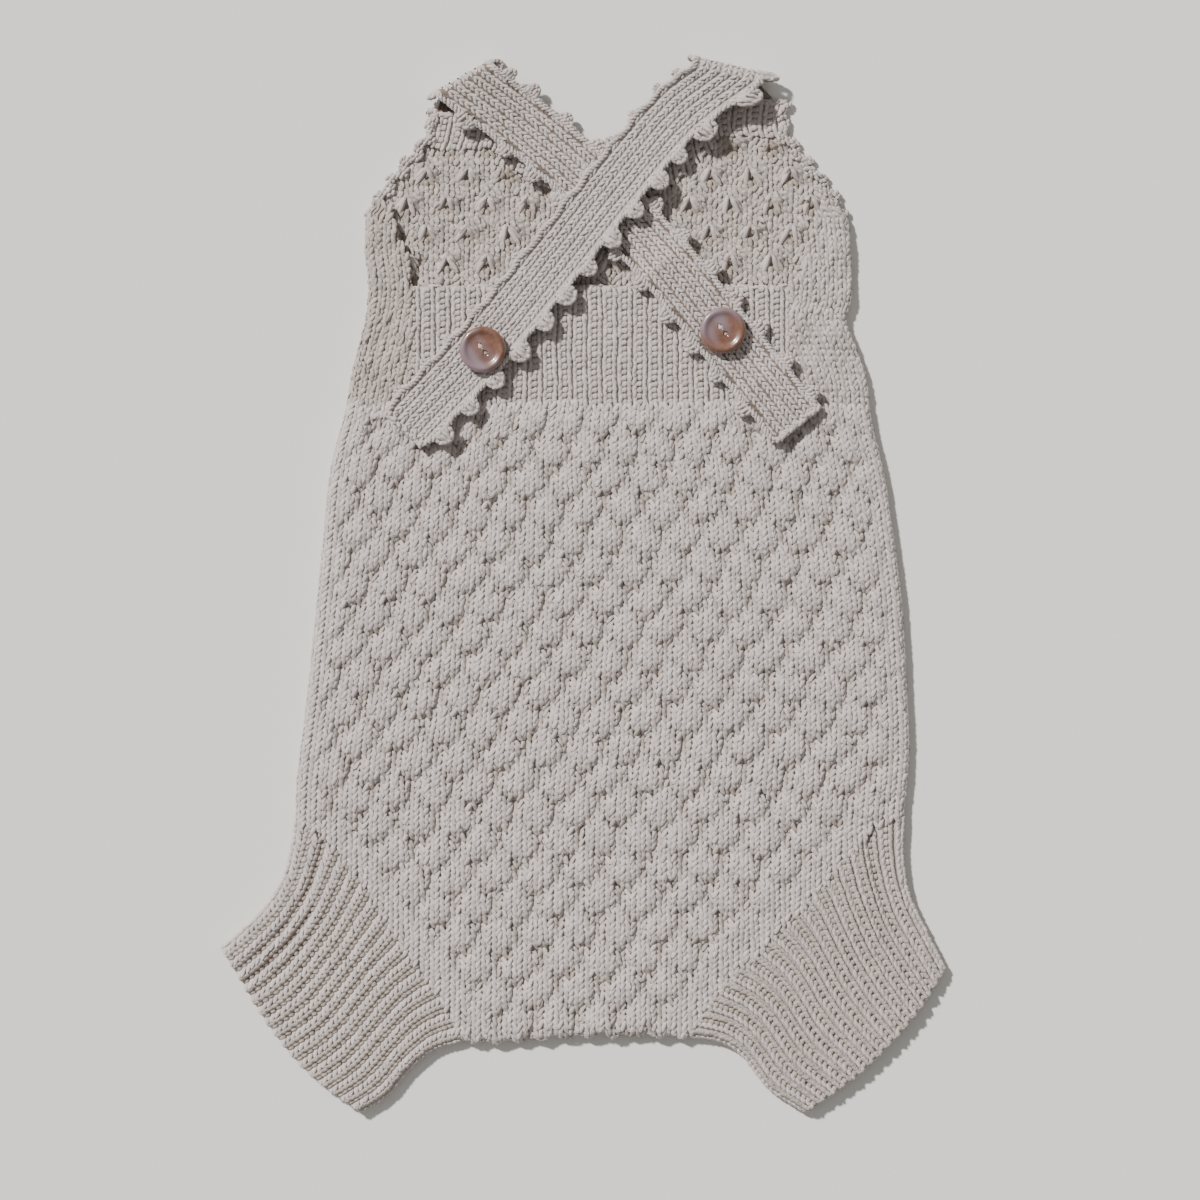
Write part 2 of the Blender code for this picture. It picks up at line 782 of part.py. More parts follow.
def make_bib(finish, collection):
    """The bib's field and the ribbed band round its neckline."""
    upper, lower = band_edges()
    gap = SEAM_GAP / 2
    left = smooth(BIB_LEFT_EDGE)
    right = smooth(BIB_RIGHT_EDGE)
    left_low = left[left[:, 1] < lower[0, 1] - gap]
    right_low = right[right[:, 1] < lower[-1, 1] - gap]
    foot = RIB_TOP
    bottom = np.array([[LEFT_AT(foot), foot], [RIGHT_AT(foot), foot]])
    sides = (
        (stepped(bottom), False),
        (stepped(fold_between(RIGHT_FOLD, foot, RIGHT_FOLD[0].y)), True),
        (scalloped(right_low, -ARMHOLE_SCALLOP), False),
        (stepped(shifted(lower, -gap)[::-1]), False),
        (scalloped(left_low, ARMHOLE_SCALLOP)[::-1], False),
        (stepped(fold_between(LEFT_FOLD, foot, LEFT_FOLD[0].y)[::-1]), True),
    )
    loop = np.vstack([curve[:-1] for curve, _ in sides])
    radii = np.full(len(loop), BIB_ROUND)
    lip = np.full(len(loop), BIB_LIP)
    lattice = stitch_lattice(loop, bib_place, BIB_LATTICE)
    add_object("bib", panel_mesh("bib", loop, radii, bib_top, 0.0, lip, lattice), finish, collection)

    shares, ribs = rib_stations(BAND_RIBS)
    low_edge = shifted(lower, gap)
    left_side = left[left[:, 1] > low_edge[0, 1]]
    right_side = right[right[:, 1] > low_edge[-1, 1]]
    left_side = np.vstack([low_edge[:1], left_side[1:-1], upper[:1]])
    right_side = np.vstack([low_edge[-1:], right_side[1:-1], upper[-1:]])
    plan = coons(low_edge, upper, left_side, right_side, shares, np.linspace(0, 1, BAND_STEPS))
    height = BIB_BASE + RIB_HEIGHT * np.tile(ribs, (BAND_STEPS, 1))
    add_object("bib_band", slab_mesh("bib_band", np.dstack([plan, height]), 0.0), finish, collection)


# --- straps -----------------------------------------------------------------------------------

def support_height(x, y):
    """Highest point of the cloth that a strap lies on."""
    bib = BIB_BASE + max(BIB_RELIEF, RIB_HEIGHT)
    rib = UNDER_BACK + RIB_BASE + RIB_HEIGHT
    bubbles = UNDER_BACK + BUBBLE_BASE + BUBBLE_HEIGHT
    if y > RIB_TOP + 1:
        return bib
    if y > RIB_BOTTOM:
        return rib
    return bubbles


def scallop_width(distances):
    """How far the scallops stand out from a strap's edge at each distance along it."""
    phase = (distances / SCALLOP_PITCH) % 1.0
    return SCALLOP_DEPTH * (1 - (2 * phase - 1) ** 2)


def strap_run(plan):
    """Centre points, side vectors and distances of a strap's run down the back."""
    curve = smooth(plan.run)
    total = lengths(curve)[-1]
    count = round(total / (SCALLOP_PITCH / SCALLOP_STEPS)) + 1
    distances = np.linspace(0, total, count)
    centre = along(curve, distances)
    return centre, side_normals(centre), distances


def strap_across(distances):
    """Offsets across a strap, a row for each distance, scalloped, its end's corners rounded."""
    left_over = np.clip((distances[-1] - distances) / STRAP_END_RADIUS, 0, 1)
    corner = STRAP_END_RADIUS * (1 - np.sqrt(1 - (1 - left_over) ** 2))
    wave = scallop_width(distances) * left_over
    outer = STRAP_WIDTH / 2 - corner + wave
    inner = outer - STRAP_EDGE - wave * SCALLOP_INNER
    return np.stack([-outer, -inner, np.zeros(len(outer)), inner, outer], axis=-1)


def drape(places, support, start_height):
    """Height of a strap's underside, row by row: over what it lies on, with no steep step."""
    highest = np.array([max(support(x, y) for x, y in row) for row in places])
    reach = lengths(places[:, places.shape[1] // 2])
    raised = highest + LAY_GAP
    level = np.array([(raised - STRAP_SLOPE * np.abs(reach - here)).max() for here in reach])
    return np.maximum(level, start_height - FOLD_SLOPE * reach)


def strap_lower(ends, top_row, side):
    """Middles and faces of a strap's rows from the band up to its fold, face down."""
    ends = np.array(ends)
    if (ends[0] - ends[1]) @ side < 0:
        ends = ends[::-1]
    width = lengths(top_row)
    first = ends[1] + (ends[0] - ends[1]) * (width / width[-1])[:, None]
    mids = []
    for share in np.linspace(0, 1, LOWER_STEPS, endpoint=False):
        spots = first + (top_row - first) * share
        mids.append(np.column_stack([spots, np.full(len(spots), WALL / 2)]))
    faces = np.tile((0.0, 0.0, -1.0), (LOWER_STEPS, len(top_row), 1))
    return np.array(mids), faces


def strap_bend(top_row, outward, radius):
    """Middles and faces of a strap's rows round its fold, from face down to face up."""
    mids = []
    faces = []
    for turn in np.linspace(0, math.pi, FOLD_STEPS, endpoint=False):
        spots = top_row + outward * radius * math.sin(turn)
        level = WALL / 2 + radius * (1 - math.cos(turn))
        face = (*(outward * math.sin(turn)), -math.cos(turn))
        mids.append(np.column_stack([spots, np.full(len(spots), level)]))
        faces.append(np.tile(face, (len(spots), 1)))
    return np.array(mids), np.array(faces)


def make_strap(name, plan, support, finish, collection):
    """One strap: up from the band, over the fold and down the back. Returns its lie."""
    centre, side, distances = strap_run(plan)
    crease = np.subtract(*plan.fold)
    crease *= math.copysign(1 / np.linalg.norm(crease), crease @ side[0])
    across = strap_across(distances)[:, :, None]
    fade = 1 - smoothstep(distances / FOLD_SHEAR_FADE)
    lean = crease / (crease @ side[0]) - side[0]
    places = centre[:, None, :] + across * (side[:, None, :] + fade[:, None, None] * lean)
    middle = drape(places, support, plan.fold_height) + WALL / 2
    run_mids = np.dstack([places, np.tile(middle[:, None], (1, places.shape[1]))])
    run_faces = np.tile((0.0, 0.0, 1.0), (*places.shape[:2], 1))

    outward = np.array([-crease[1], crease[0]])
    outward *= -math.copysign(1, outward @ (centre[1] - centre[0]))
    lower_mids, lower_faces = strap_lower(plan.start, places[0], side[0])
    bend_mids, bend_faces = strap_bend(places[0], outward, (middle[0] - WALL / 2) / 2)

    mids = np.vstack([lower_mids, bend_mids, run_mids])
    half = np.full(places.shape[1], WALL / 2)
    half[[0, -1]] = STRAP_LIP
    offset = np.vstack([lower_faces, bend_faces, run_faces]) * half[None, :, None]
    add_object(name, shell_mesh(name, mids + offset, mids - offset), finish, collection)
    return centre, middle + WALL / 2


def over_strap(lie, base_support):
    """Support height with a strap already laid."""
    centre, top = lie
    reach = STRAP_WIDTH / 2 + SCALLOP_DEPTH + 2 * LAY_GAP

    def support(x, y):
        away = np.hypot(centre[:, 0] - x, centre[:, 1] - y)
        nearest = away.argmin()
        under = base_support(x, y)
        return max(under, top[nearest]) if away[nearest] < reach else under

    return support


# --- buttons ----------------------------------------------------------------------------------

def make_button(name, place, level, finish, collection, cutters):
    """A turned button with two thread holes, lying on its strap."""
    radius = BUTTON_DIAMETER / 2 * MM
    thickness = BUTTON_THICKNESS * MM
    profile = bpy.data.meshes.new(name)
    spots = [(point.radius * radius, 0.0, point.height * thickness) for point in BUTTON_PROFILE]
    profile.from_pydata(spots, [(k, k + 1) for k in range(len(spots) - 1)], [])
    button = add_object(name, profile, finish, collection)
    turn = button.modifiers.new("turn", "SCREW")
    turn.steps = BUTTON_STEPS
    turn.render_steps = BUTTON_STEPS
    turn.use_merge_vertices = True
    turn.merge_threshold = 0.00001
    button.location = (place.x * MM, place.y * MM, (level + LAY_GAP) * MM)

    for label, side in (("_hole_a", -1), ("_hole_b", 1)):
        bpy.ops.mesh.primitive_cylinder_add(
            vertices=HOLE_SIDES, radius=BUTTON_HOLE / 2 * MM, depth=3 * thickness)
        cutter = bpy.context.object
        cutter.location = button.location
        cutter.location.x += side * BUTTON_HOLE_SPACING / 2 * MM * math.cos(math.radians(BUTTON_HOLE_TURN))
        cutter.location.y += side * BUTTON_HOLE_SPACING / 2 * MM * math.sin(math.radians(BUTTON_HOLE_TURN))
        cutter.name = name + label
        cutter.hide_render = True
        cutter.display_type = "WIRE"
        for home in cutter.users_collection:
            home.objects.unlink(cutter)
        cutters.objects.link(cutter)
        cut = button.modifiers.new("hole", "BOOLEAN")
        cut.operation = "DIFFERENCE"
        cut.object = cutter


# --- the garment ------------------------------------------------------------------------------

def centre_over_origin(garment, cutters):
    """Move every piece in plan so that the garment's box is centred over the origin."""
    bpy.context.view_layer.update()
    corners = []
    for piece in garment.objects:
        corners += [piece.matrix_world @ Vector(corner) for corner in piece.bound_box]
    shift = Vector((0.0, 0.0, 0.0))
    for axis in (0, 1):
        reach = [corner[axis] for corner in corners]
        shift[axis] = -(min(reach) + max(reach)) / 2
    for piece in list(garment.objects) + list(cutters.objects):
        piece.location += shift


def main():
    """Build every piece."""
    for old in list(bpy.data.objects):
        bpy.data.objects.remove(old)
    garment = bpy.data.collections.new("baby_romper")
    cutters = bpy.data.collections.new("cutters")
    bpy.context.scene.collection.children.link(garment)
    bpy.context.scene.collection.children.link(cutters)
    knit = material("knit_yarn", YARN, 0.9)
    shell = material("button_shell", SHELL, 0.25)

    make_body(knit, garment)
    make_cuff("cuff_left", LEFT_JOIN, LEFT_CUFF_OUTER, LEFT_CUFF_HEM, LEFT_CUFF_INNER, knit, garment)
    make_cuff("cuff_right", RIGHT_JOIN, RIGHT_CUFF_OUTER, RIGHT_CUFF_HEM, RIGHT_CUFF_INNER, knit, garment)
    make_back_rib(knit, garment)
    make_side_strip("side_wrap_left", LEFT_FOLD, LEFT_STRIP, knit, garment)
    make_side_strip("side_wrap_right", RIGHT_FOLD, RIGHT_STRIP, knit, garment)
    make_bib(knit, garment)

    under_lie = make_strap("strap_left", STRAP_LEFT, support_height, knit, garment)
    crossing = over_strap(under_lie, support_height)
    over_lie = make_strap("strap_right", STRAP_RIGHT, crossing, knit, garment)
    buttons = (
        ("button_left", BUTTON_LEFT_AT, over_lie),
        ("button_right", BUTTON_RIGHT_AT, under_lie),
    )
    for name, place, (centre, top) in buttons:
        away = np.hypot(centre[:, 0] - place.x, centre[:, 1] - place.y)
        level = top[away < BUTTON_DIAMETER / 2].max()
        make_button(name, place, level, shell, garment, cutters)
    centre_over_origin(garment, cutters)


main()
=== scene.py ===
"""Baby romper, hand knitted, laid flat with its back up: the looks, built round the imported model.

Every panel is a thin shell of cloth with its stitches lying on it as short lengths of yarn. Plan
sizes and heights are in millimetres, x to the right, y towards the straps and z up from the
surface that the romper lies on. They become metres, in the frame's own place, when a mesh is made.
"""

import logging
import math
from collections.abc import Callable, Sequence
from dataclasses import astuple, dataclass, field
from enum import Enum
from functools import partial
from typing import Any, NamedTuple

import bmesh
import bpy
import numpy as np
from mathutils import Matrix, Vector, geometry


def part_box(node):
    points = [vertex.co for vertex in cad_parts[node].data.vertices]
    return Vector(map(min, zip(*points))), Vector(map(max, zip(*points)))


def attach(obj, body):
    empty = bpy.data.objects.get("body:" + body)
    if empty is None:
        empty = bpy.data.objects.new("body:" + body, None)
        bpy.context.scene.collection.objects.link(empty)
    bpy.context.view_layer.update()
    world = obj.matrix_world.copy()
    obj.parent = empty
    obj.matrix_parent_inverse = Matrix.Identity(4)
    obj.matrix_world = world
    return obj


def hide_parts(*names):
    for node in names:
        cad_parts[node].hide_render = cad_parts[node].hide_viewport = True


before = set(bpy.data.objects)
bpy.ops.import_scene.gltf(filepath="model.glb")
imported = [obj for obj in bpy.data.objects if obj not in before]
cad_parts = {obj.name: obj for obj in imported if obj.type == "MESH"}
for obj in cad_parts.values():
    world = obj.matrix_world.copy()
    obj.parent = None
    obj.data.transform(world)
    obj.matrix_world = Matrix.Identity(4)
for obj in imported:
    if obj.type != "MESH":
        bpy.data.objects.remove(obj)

LOG = logging.getLogger("baby_romper")
MM = 0.001
MATH = "ShaderNodeMath"
UPWARD = (0.0, 0.0, 1.0)

Array = np.ndarray
Place = Callable[[Array, Array], Array]
Spot = tuple[float, float]


class Side(Enum):
    """The two sides of the garment as it lies."""

    LEFT = -1
    RIGHT = 1


class Eyelet(NamedTuple):
    """A small hole in the knitting: its middle and its size across and up."""

    x: float
    y: float
    wide: float
    long: float


# --- the garment's plan ---

LEFT_FOLD = (
    (-82.7, 139.0), (-82.9, 126.4), (-81.3, 112.0), (-83.2, 98.0), (-87.4, 82.0), (-90.3, 65.5),
    (-96.0, 42.8), (-99.2, 12.0), (-101.4, -10.0), (-105.1, -45.0), (-108.6, -73.0), (-109.3, -90.0),
)
RIGHT_FOLD = (
    (100.6, 138.0), (101.6, 124.0), (101.6, 108.0), (99.6, 100.0), (103.6, 89.0), (107.4, 77.0),
    (109.3, 62.0), (114.2, 41.0), (117.4, 20.0), (120.7, -6.0), (122.6, -35.0), (123.7, -64.0),
    (121.8, -88.0),
)
LEFT_JOIN = (
    (-109.3, -90.0), (-101.5, -94.0), (-92.0, -103.5), (-79.2, -120.5), (-69.0, -137.0),
    (-57.6, -152.0), (-49.6, -164.0), (-45.5, -173.8),
)
RIGHT_JOIN = (
    (121.8, -88.0), (109.5, -93.0), (101.0, -102.0), (89.5, -115.7), (78.5, -127.0), (62.0, -143.8),
    (50.0, -156.0), (39.5, -172.2),
)
CROTCH = ((-45.5, -173.8), (-31.0, -174.2), (-8.9, -172.4), (14.0, -171.9), (39.5, -172.2))
LEFT_CUFF_OUTER = (
    (-109.3, -90.0), (-110.6, -100.0), (-113.5, -111.5), (-120.3, -123.0), (-130.0, -132.8),
    (-137.4, -139.0),
)
LEFT_CUFF_HEM = ((-137.4, -139.0), (-122.4, -163.4), (-103.8, -186.5), (-84.6, -201.0))
LEFT_CUFF_INNER = ((-45.5, -173.8), (-56.5, -177.0), (-66.0, -184.5), (-74.5, -194.5), (-84.6, -201.0))
RIGHT_CUFF_OUTER = ((121.8, -88.0), (121.2, -103.0), (123.4, -118.0), (129.5, -131.5), (137.4, -147.0))
RIGHT_CUFF_HEM = ((137.4, -147.0), (123.5, -167.5), (105.0, -186.2), (84.4, -201.0))
RIGHT_CUFF_INNER = ((39.5, -172.2), (51.0, -173.8), (60.5, -179.5), (70.5, -192.0), (84.4, -201.0))
RIB_TOP = 112.5
RIB_BOTTOM = 67.5
RIB_LEFT = -65.0
RIB_RIGHT = 79.5
# A side strip's inner edge: level, and x at that level.
LEFT_STRIP = (
    (67.5, -65.0), (112.5, -65.0), (121.0, -65.8), (131.0, -70.2), (139.5, -72.5), (145.0, -76.2),
)
RIGHT_STRIP = ((67.5, 79.5), (112.5, 79.5), (119.0, 84.0), (129.0, 86.0), (139.0, 88.6), (146.0, 93.0))
BIB_LEFT_EDGE = ((-82.0, 139.0), (-76.0, 149.0), (-67.8, 160.0), (-60.0, 169.5), (-57.6, 178.6))
BIB_RIGHT_EDGE = (
    (99.6, 139.0), (95.4, 147.4), (88.0, 157.0), (82.4, 163.6), (76.8, 172.0), (77.6, 183.6),
)
NECKLINE = (
    (-57.6, 178.6), (-43.0, 178.9), (-30.0, 178.2), (-14.6, 166.0), (12.0, 157.5), (31.0, 167.0),
    (45.0, 181.6), (60.0, 183.6), (77.6, 183.6),
)
STRAP_RIGHT_START = ((44.4, 183.6), (73.2, 184.4))
STRAP_RIGHT_FOLD = ((38.0, 196.4), (70.4, 188.4))
STRAP_RIGHT_RUN = (
    (54.2, 192.4), (34.0, 176.9), (10.8, 149.6), (-11.2, 122.2), (-38.2, 89.6), (-68.2, 57.4),
)
STRAP_LEFT_START = ((-56.6, 179.2), (-30.2, 180.6))
STRAP_LEFT_FOLD = ((-56.8, 182.0), (-31.6, 196.8))
STRAP_LEFT_RUN = (
    (-44.2, 189.4), (-24.1, 175.0), (-3.2, 157.2), (15.8, 138.4), (34.8, 117.0), (52.6, 95.0),
    (81.4, 59.2),
)

# Layers, in millimetres above the surface.
WALL = 2.2
UNDER_BACK = 2.6
TOP_OF_BACK = 6.8
TOP_OF_RIB = 5.3
TOP_OF_BIB = 3.0
SEAM_GAP = 0.3
FOLD_RADIUS = 3.2
FOLD_EDGE = UNDER_BACK + 0.4
THINNEST = 0.25

# Columns that turn under at a side, and the angle that each turns through, in radians.
TURN_COLUMNS = 2.4
TURN_EACH = 1.15

# Where a plain stitch's legs start and end, in rows from its foot.
LEG_FOOT = -0.12
LEG_TOP = 1.14

# Painted shade, as depths in the cloth, on a wall's plain side.
UNDER_PANEL_SHADE = 0.6
UNDER_GRID_SHADE = 0.55

# The garment's own plan against the frame's: the rib's node has its foot and left edge known.
RIB_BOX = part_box("back_rib")
SHIFT = np.array([RIB_BOX[0].x - (RIB_LEFT + SEAM_GAP / 2) * MM, RIB_BOX[0].y - RIB_BOTTOM * MM, 0.0])


# --- curves in plan ---

def smooth(points: Sequence[Sequence[float]], samples: int = 24) -> Array:
    """Dense points on a Catmull-Rom curve.

    Args:
        points: the places that the curve passes through.
        samples: how many points are made between two of them.

    Returns:
        The curve's points, a row each.
    """
    knots = np.array(points, float)
    padded = np.vstack([2 * knots[0] - knots[1], knots, 2 * knots[-1] - knots[-2]])
    share = np.linspace(0, 1, samples, endpoint=False)[:, None]
    pieces = []
    for a, b, c, d in zip(padded, padded[1:], padded[2:], padded[3:]):
        pieces.append(0.5 * (2 * b + (c - a) * share + (2 * a - 5 * b + 4 * c - d) * share ** 2
                             + (3 * b - a - 3 * c + d) * share ** 3))
    return np.vstack(pieces + [knots[-1:]])


def lengths(curve: Array) -> Array:
    """Distance along a polyline to each of its points."""
    return np.concatenate([[0.0], np.cumsum(np.linalg.norm(np.diff(curve, axis=0), axis=1))])


def along(curve: Array, distances: Array) -> Array:
    """Points of a polyline at given distances from its start."""
    reach = lengths(curve)
    return np.stack([np.interp(distances, reach, curve[:, k]) for k in range(curve.shape[1])], axis=-1)


def spaced(curve: Array, shares: Array) -> Array:
    """Points of a polyline at given shares of its length."""
    return along(curve, np.asarray(shares) * lengths(curve)[-1])


def stepped(curve: Array, step: float) -> Array:
    """A polyline made again with even steps of about the given size."""
    count = max(2, round(lengths(curve)[-1] / step) + 1)
    return spaced(curve, np.linspace(0, 1, count))


def side_normals(curve: Array) -> Array:
    """Unit vectors to the left of travel.

    Args:
        curve: a polyline's points.

    Returns:
        A vector for each point.
    """
    ahead = np.gradient(curve, axis=0)
    ahead /= np.linalg.norm(ahead, axis=1)[:, None]
    return np.stack([-ahead[:, 1], ahead[:, 0]], axis=-1)


def shifted(curve: Array, distance: float) -> Array:
    """A polyline moved to the left of its travel."""
    return curve + side_normals(curve) * distance


def smoothstep(value: Array) -> Array:
    """0 to 1 with level ends."""
    value = np.clip(value, 0.0, 1.0)
    return value * value * (3 - 2 * value)


def bell(value: Array) -> Array:
    """1 at zero, falling away as a Gaussian of unit width."""
    return np.exp(-0.5 * np.square(value))


def rounded(near: Array, radius: float = FOLD_RADIUS) -> Array:
    """Rise of an edge that is rounded over, 0 at the edge itself and 1 a radius inside it."""
    return np.sqrt(1 - (1 - np.clip(near / radius, 0, 1)) ** 2)


def cells(columns: Array, rows: Array) -> tuple[Array, Array]:
    """Every pair of one of the columns and one of the rows, in two flat lists."""
    column, row = np.meshgrid(np.asarray(columns, float), np.asarray(rows, float))
    return column.ravel(), row.ravel()


def wander(x: Array, y: Array, seed: float = 0.0) -> Array:
    """A gentle unevenness between -1 and 1 that changes over a few centimetres."""
    return (np.sin(x / 23.0 + 1.3 * np.sin(y / 31.0 + seed)) + np.sin(y / 17.0 + seed * 1.7 + x / 41.0)
            + np.sin((x + y) / 13.0 + seed * 2.3)) / 3


def eyelet_depth(x: Array, y: Array, eyelets: Sequence[Eyelet]) -> Array:
    """How deep places lie in some eyelets.

    Args:
        x: the places' x.
        y: their y.
        eyelets: the small holes.

    Returns:
        1 in their middles and 0 outside them.
    """
    depths = []
    for hole in eyelets:
        away = np.hypot((x - hole.x) / hole.wide, (y - hole.y) / hole.long) * 2
        depths.append(1 - smoothstep((away - 0.55) / 0.75))
    return np.max(depths, axis=0)


def nearest_pulls(across: Array, up: Array) -> list[tuple[Array, Array]]:
    """The pulled stitches nearest to a place in the bubbles' lattice, in its even and odd rows."""
    return [(np.round(across - odd / 2) + odd / 2, np.round((up - odd) / 2) * 2 + odd) for odd in (0, 1)]


class Fold:
    """A side of the garment where the cloth turns under."""

    def __init__(self, points: Sequence[Spot]) -> None:
        """Keep the fold's curve in order of y.

        Args:
            points: places on the fold, from the top down.
        """
        curve = smooth(points)
        order = np.argsort(curve[:, 1])
        self.curve = curve[order]
        self.low = points[-1][1]
        self.high = points[0][1]

    def x(self, y: Array) -> Array:
        """The fold's x at given levels."""
        return np.interp(y, self.curve[:, 1], self.curve[:, 0])

    def between(self, low: float, high: float) -> Array:
        """The stretch of the fold between two levels, from low to high."""
        chosen = self.curve[(self.curve[:, 1] > low) & (self.curve[:, 1] < high)]
        return np.vstack([[self.x(low), low], chosen, [self.x(high), high]])


FOLDS = {Side.LEFT: Fold(LEFT_FOLD), Side.RIGHT: Fold(RIGHT_FOLD)}
STRIPS = {Side.LEFT: LEFT_STRIP, Side.RIGHT: RIGHT_STRIP}
JOINS = {Side.LEFT: smooth(LEFT_JOIN), Side.RIGHT: smooth(RIGHT_JOIN)}
CUFFS = {Side.LEFT: (LEFT_CUFF_OUTER, LEFT_CUFF_HEM, LEFT_CUFF_INNER),
         Side.RIGHT: (RIGHT_CUFF_OUTER, RIGHT_CUFF_HEM, RIGHT_CUFF_INNER)}
CROTCH_FOLD = smooth(CROTCH)
EYELETS = (
    Eyelet(-78.1, 141.2, 4.2, 5.2), Eyelet(-69.4, 138.5, 2.2, 2.2), Eyelet(-69.0, 131.3, 5.2, 5.0),
    Eyelet(-61.8, 121.8, 5.4, 5.0), Eyelet(-64.0, 114.9, 5.0, 4.4), Eyelet(-72.8, 99.8, 2.6, 2.4),
    Eyelet(-82.7, 90.3, 2.4, 2.4), Eyelet(-49.2, 178.0, 8.0, 6.4), Eyelet(-35.2, 168.2, 6.4, 7.6),
    Eyelet(-24.5, 159.0, 8.2, 5.2), Eyelet(-15.0, 148.4, 4.6, 5.2),
)


def depth_inside(loop: Array, spots: Array) -> Array:
    """How far inside a closed line spots lie.

    Args:
        loop: the line's points.
        spots: places in plan, a row each.

    Returns:
        The distances in millimetres, negative outside.
    """
    x0, y0 = loop.T
    edge = np.roll(loop, -1, axis=0) - loop
    found = []
    for block in np.array_split(spots, max(1, len(spots) // 2000)):
        x, y = block.T[..., None]
        crosses = (y0 > y) != (np.roll(y0, -1) > y)
        rise = np.where(crosses, np.roll(y0, -1) - y0, 1.0)
        reach = x0 + (y - y0) * edge[:, 0] / rise
        inside = np.count_nonzero(crosses & (x < reach), axis=1) % 2 == 1
        away = block[:, None, :] - loop
        share = np.clip((away * edge).sum(2) / (edge * edge).sum(1), 0, 1)
        nearest = np.linalg.norm(away - edge * share[..., None], axis=2).min(1)
        found.append(np.where(inside, nearest, -nearest))
    return np.concatenate(found)


# --- nodes and finishes ---

def linear(colour: str) -> tuple[float, float, float, float]:
    """The linear colour of an sRGB hex value such as C8C0B8.

    Args:
        colour: the hex value.

    Returns:
        Red, green, blue and an alpha of 1.
    """
    channels = []
    for start in (0, 2, 4):
        value = int(colour[start:start + 2], 16) / 255
        channels.append(value / 12.92 if value <= 0.04045 else ((value + 0.055) / 1.055) ** 2.4)
    return (channels[0], channels[1], channels[2], 1.0)


def feed(node: bpy.types.Node, inputs: dict[str | int, Any]) -> None:
    """Set or link a node's inputs.

    Args:
        node: the node.
        inputs: by name or number, a value, a socket, or a node whose first output is meant.
    """
    for name, value in inputs.items():
        if isinstance(value, bpy.types.Node):
            value = value.outputs[0]
        if isinstance(value, bpy.types.NodeSocket):
            node.id_data.links.new(value, node.inputs[name])
        else:
            node.inputs[name].default_value = value


def add_node(tree: bpy.types.NodeTree, kind: str, inputs: dict[str | int, Any] | Sequence[Any] = (),
             **settings: Any) -> bpy.types.Node:
    """Add a node with its settings, values and links.

    Args:
        tree: the tree that it goes in.
        kind: the node's type name.
        inputs: what goes into its inputs, by name or number as feed takes it, or in their order.
        settings: the node's own properties.

    Returns:
        The node.
    """
    node = tree.nodes.new(kind)
    for name, value in settings.items():
        setattr(node, name, value)
    feed(node, inputs if isinstance(inputs, dict) else dict(enumerate(inputs)))
    return node


def new_material(name: str) -> tuple[bpy.types.Material, bpy.types.NodeTree, bpy.types.Node]:
    """Start a material.

    Args:
        name: its name.

    Returns:
        The material, its tree and its Principled shader.
    """
    made = bpy.data.materials.new(name)
    made.use_nodes = True
    return made, made.node_tree, made.node_tree.nodes["Principled BSDF"]


def placed(name: str, data: bpy.types.ID) -> bpy.types.Object:
    """Add an object to the scene.

    Args:
        name: the object's name.
        data: the mesh, lamp or lens that it holds.

    Returns:
        The object.
    """
    made = bpy.data.objects.new(name, data)
    bpy.context.scene.collection.objects.link(made)
    return made


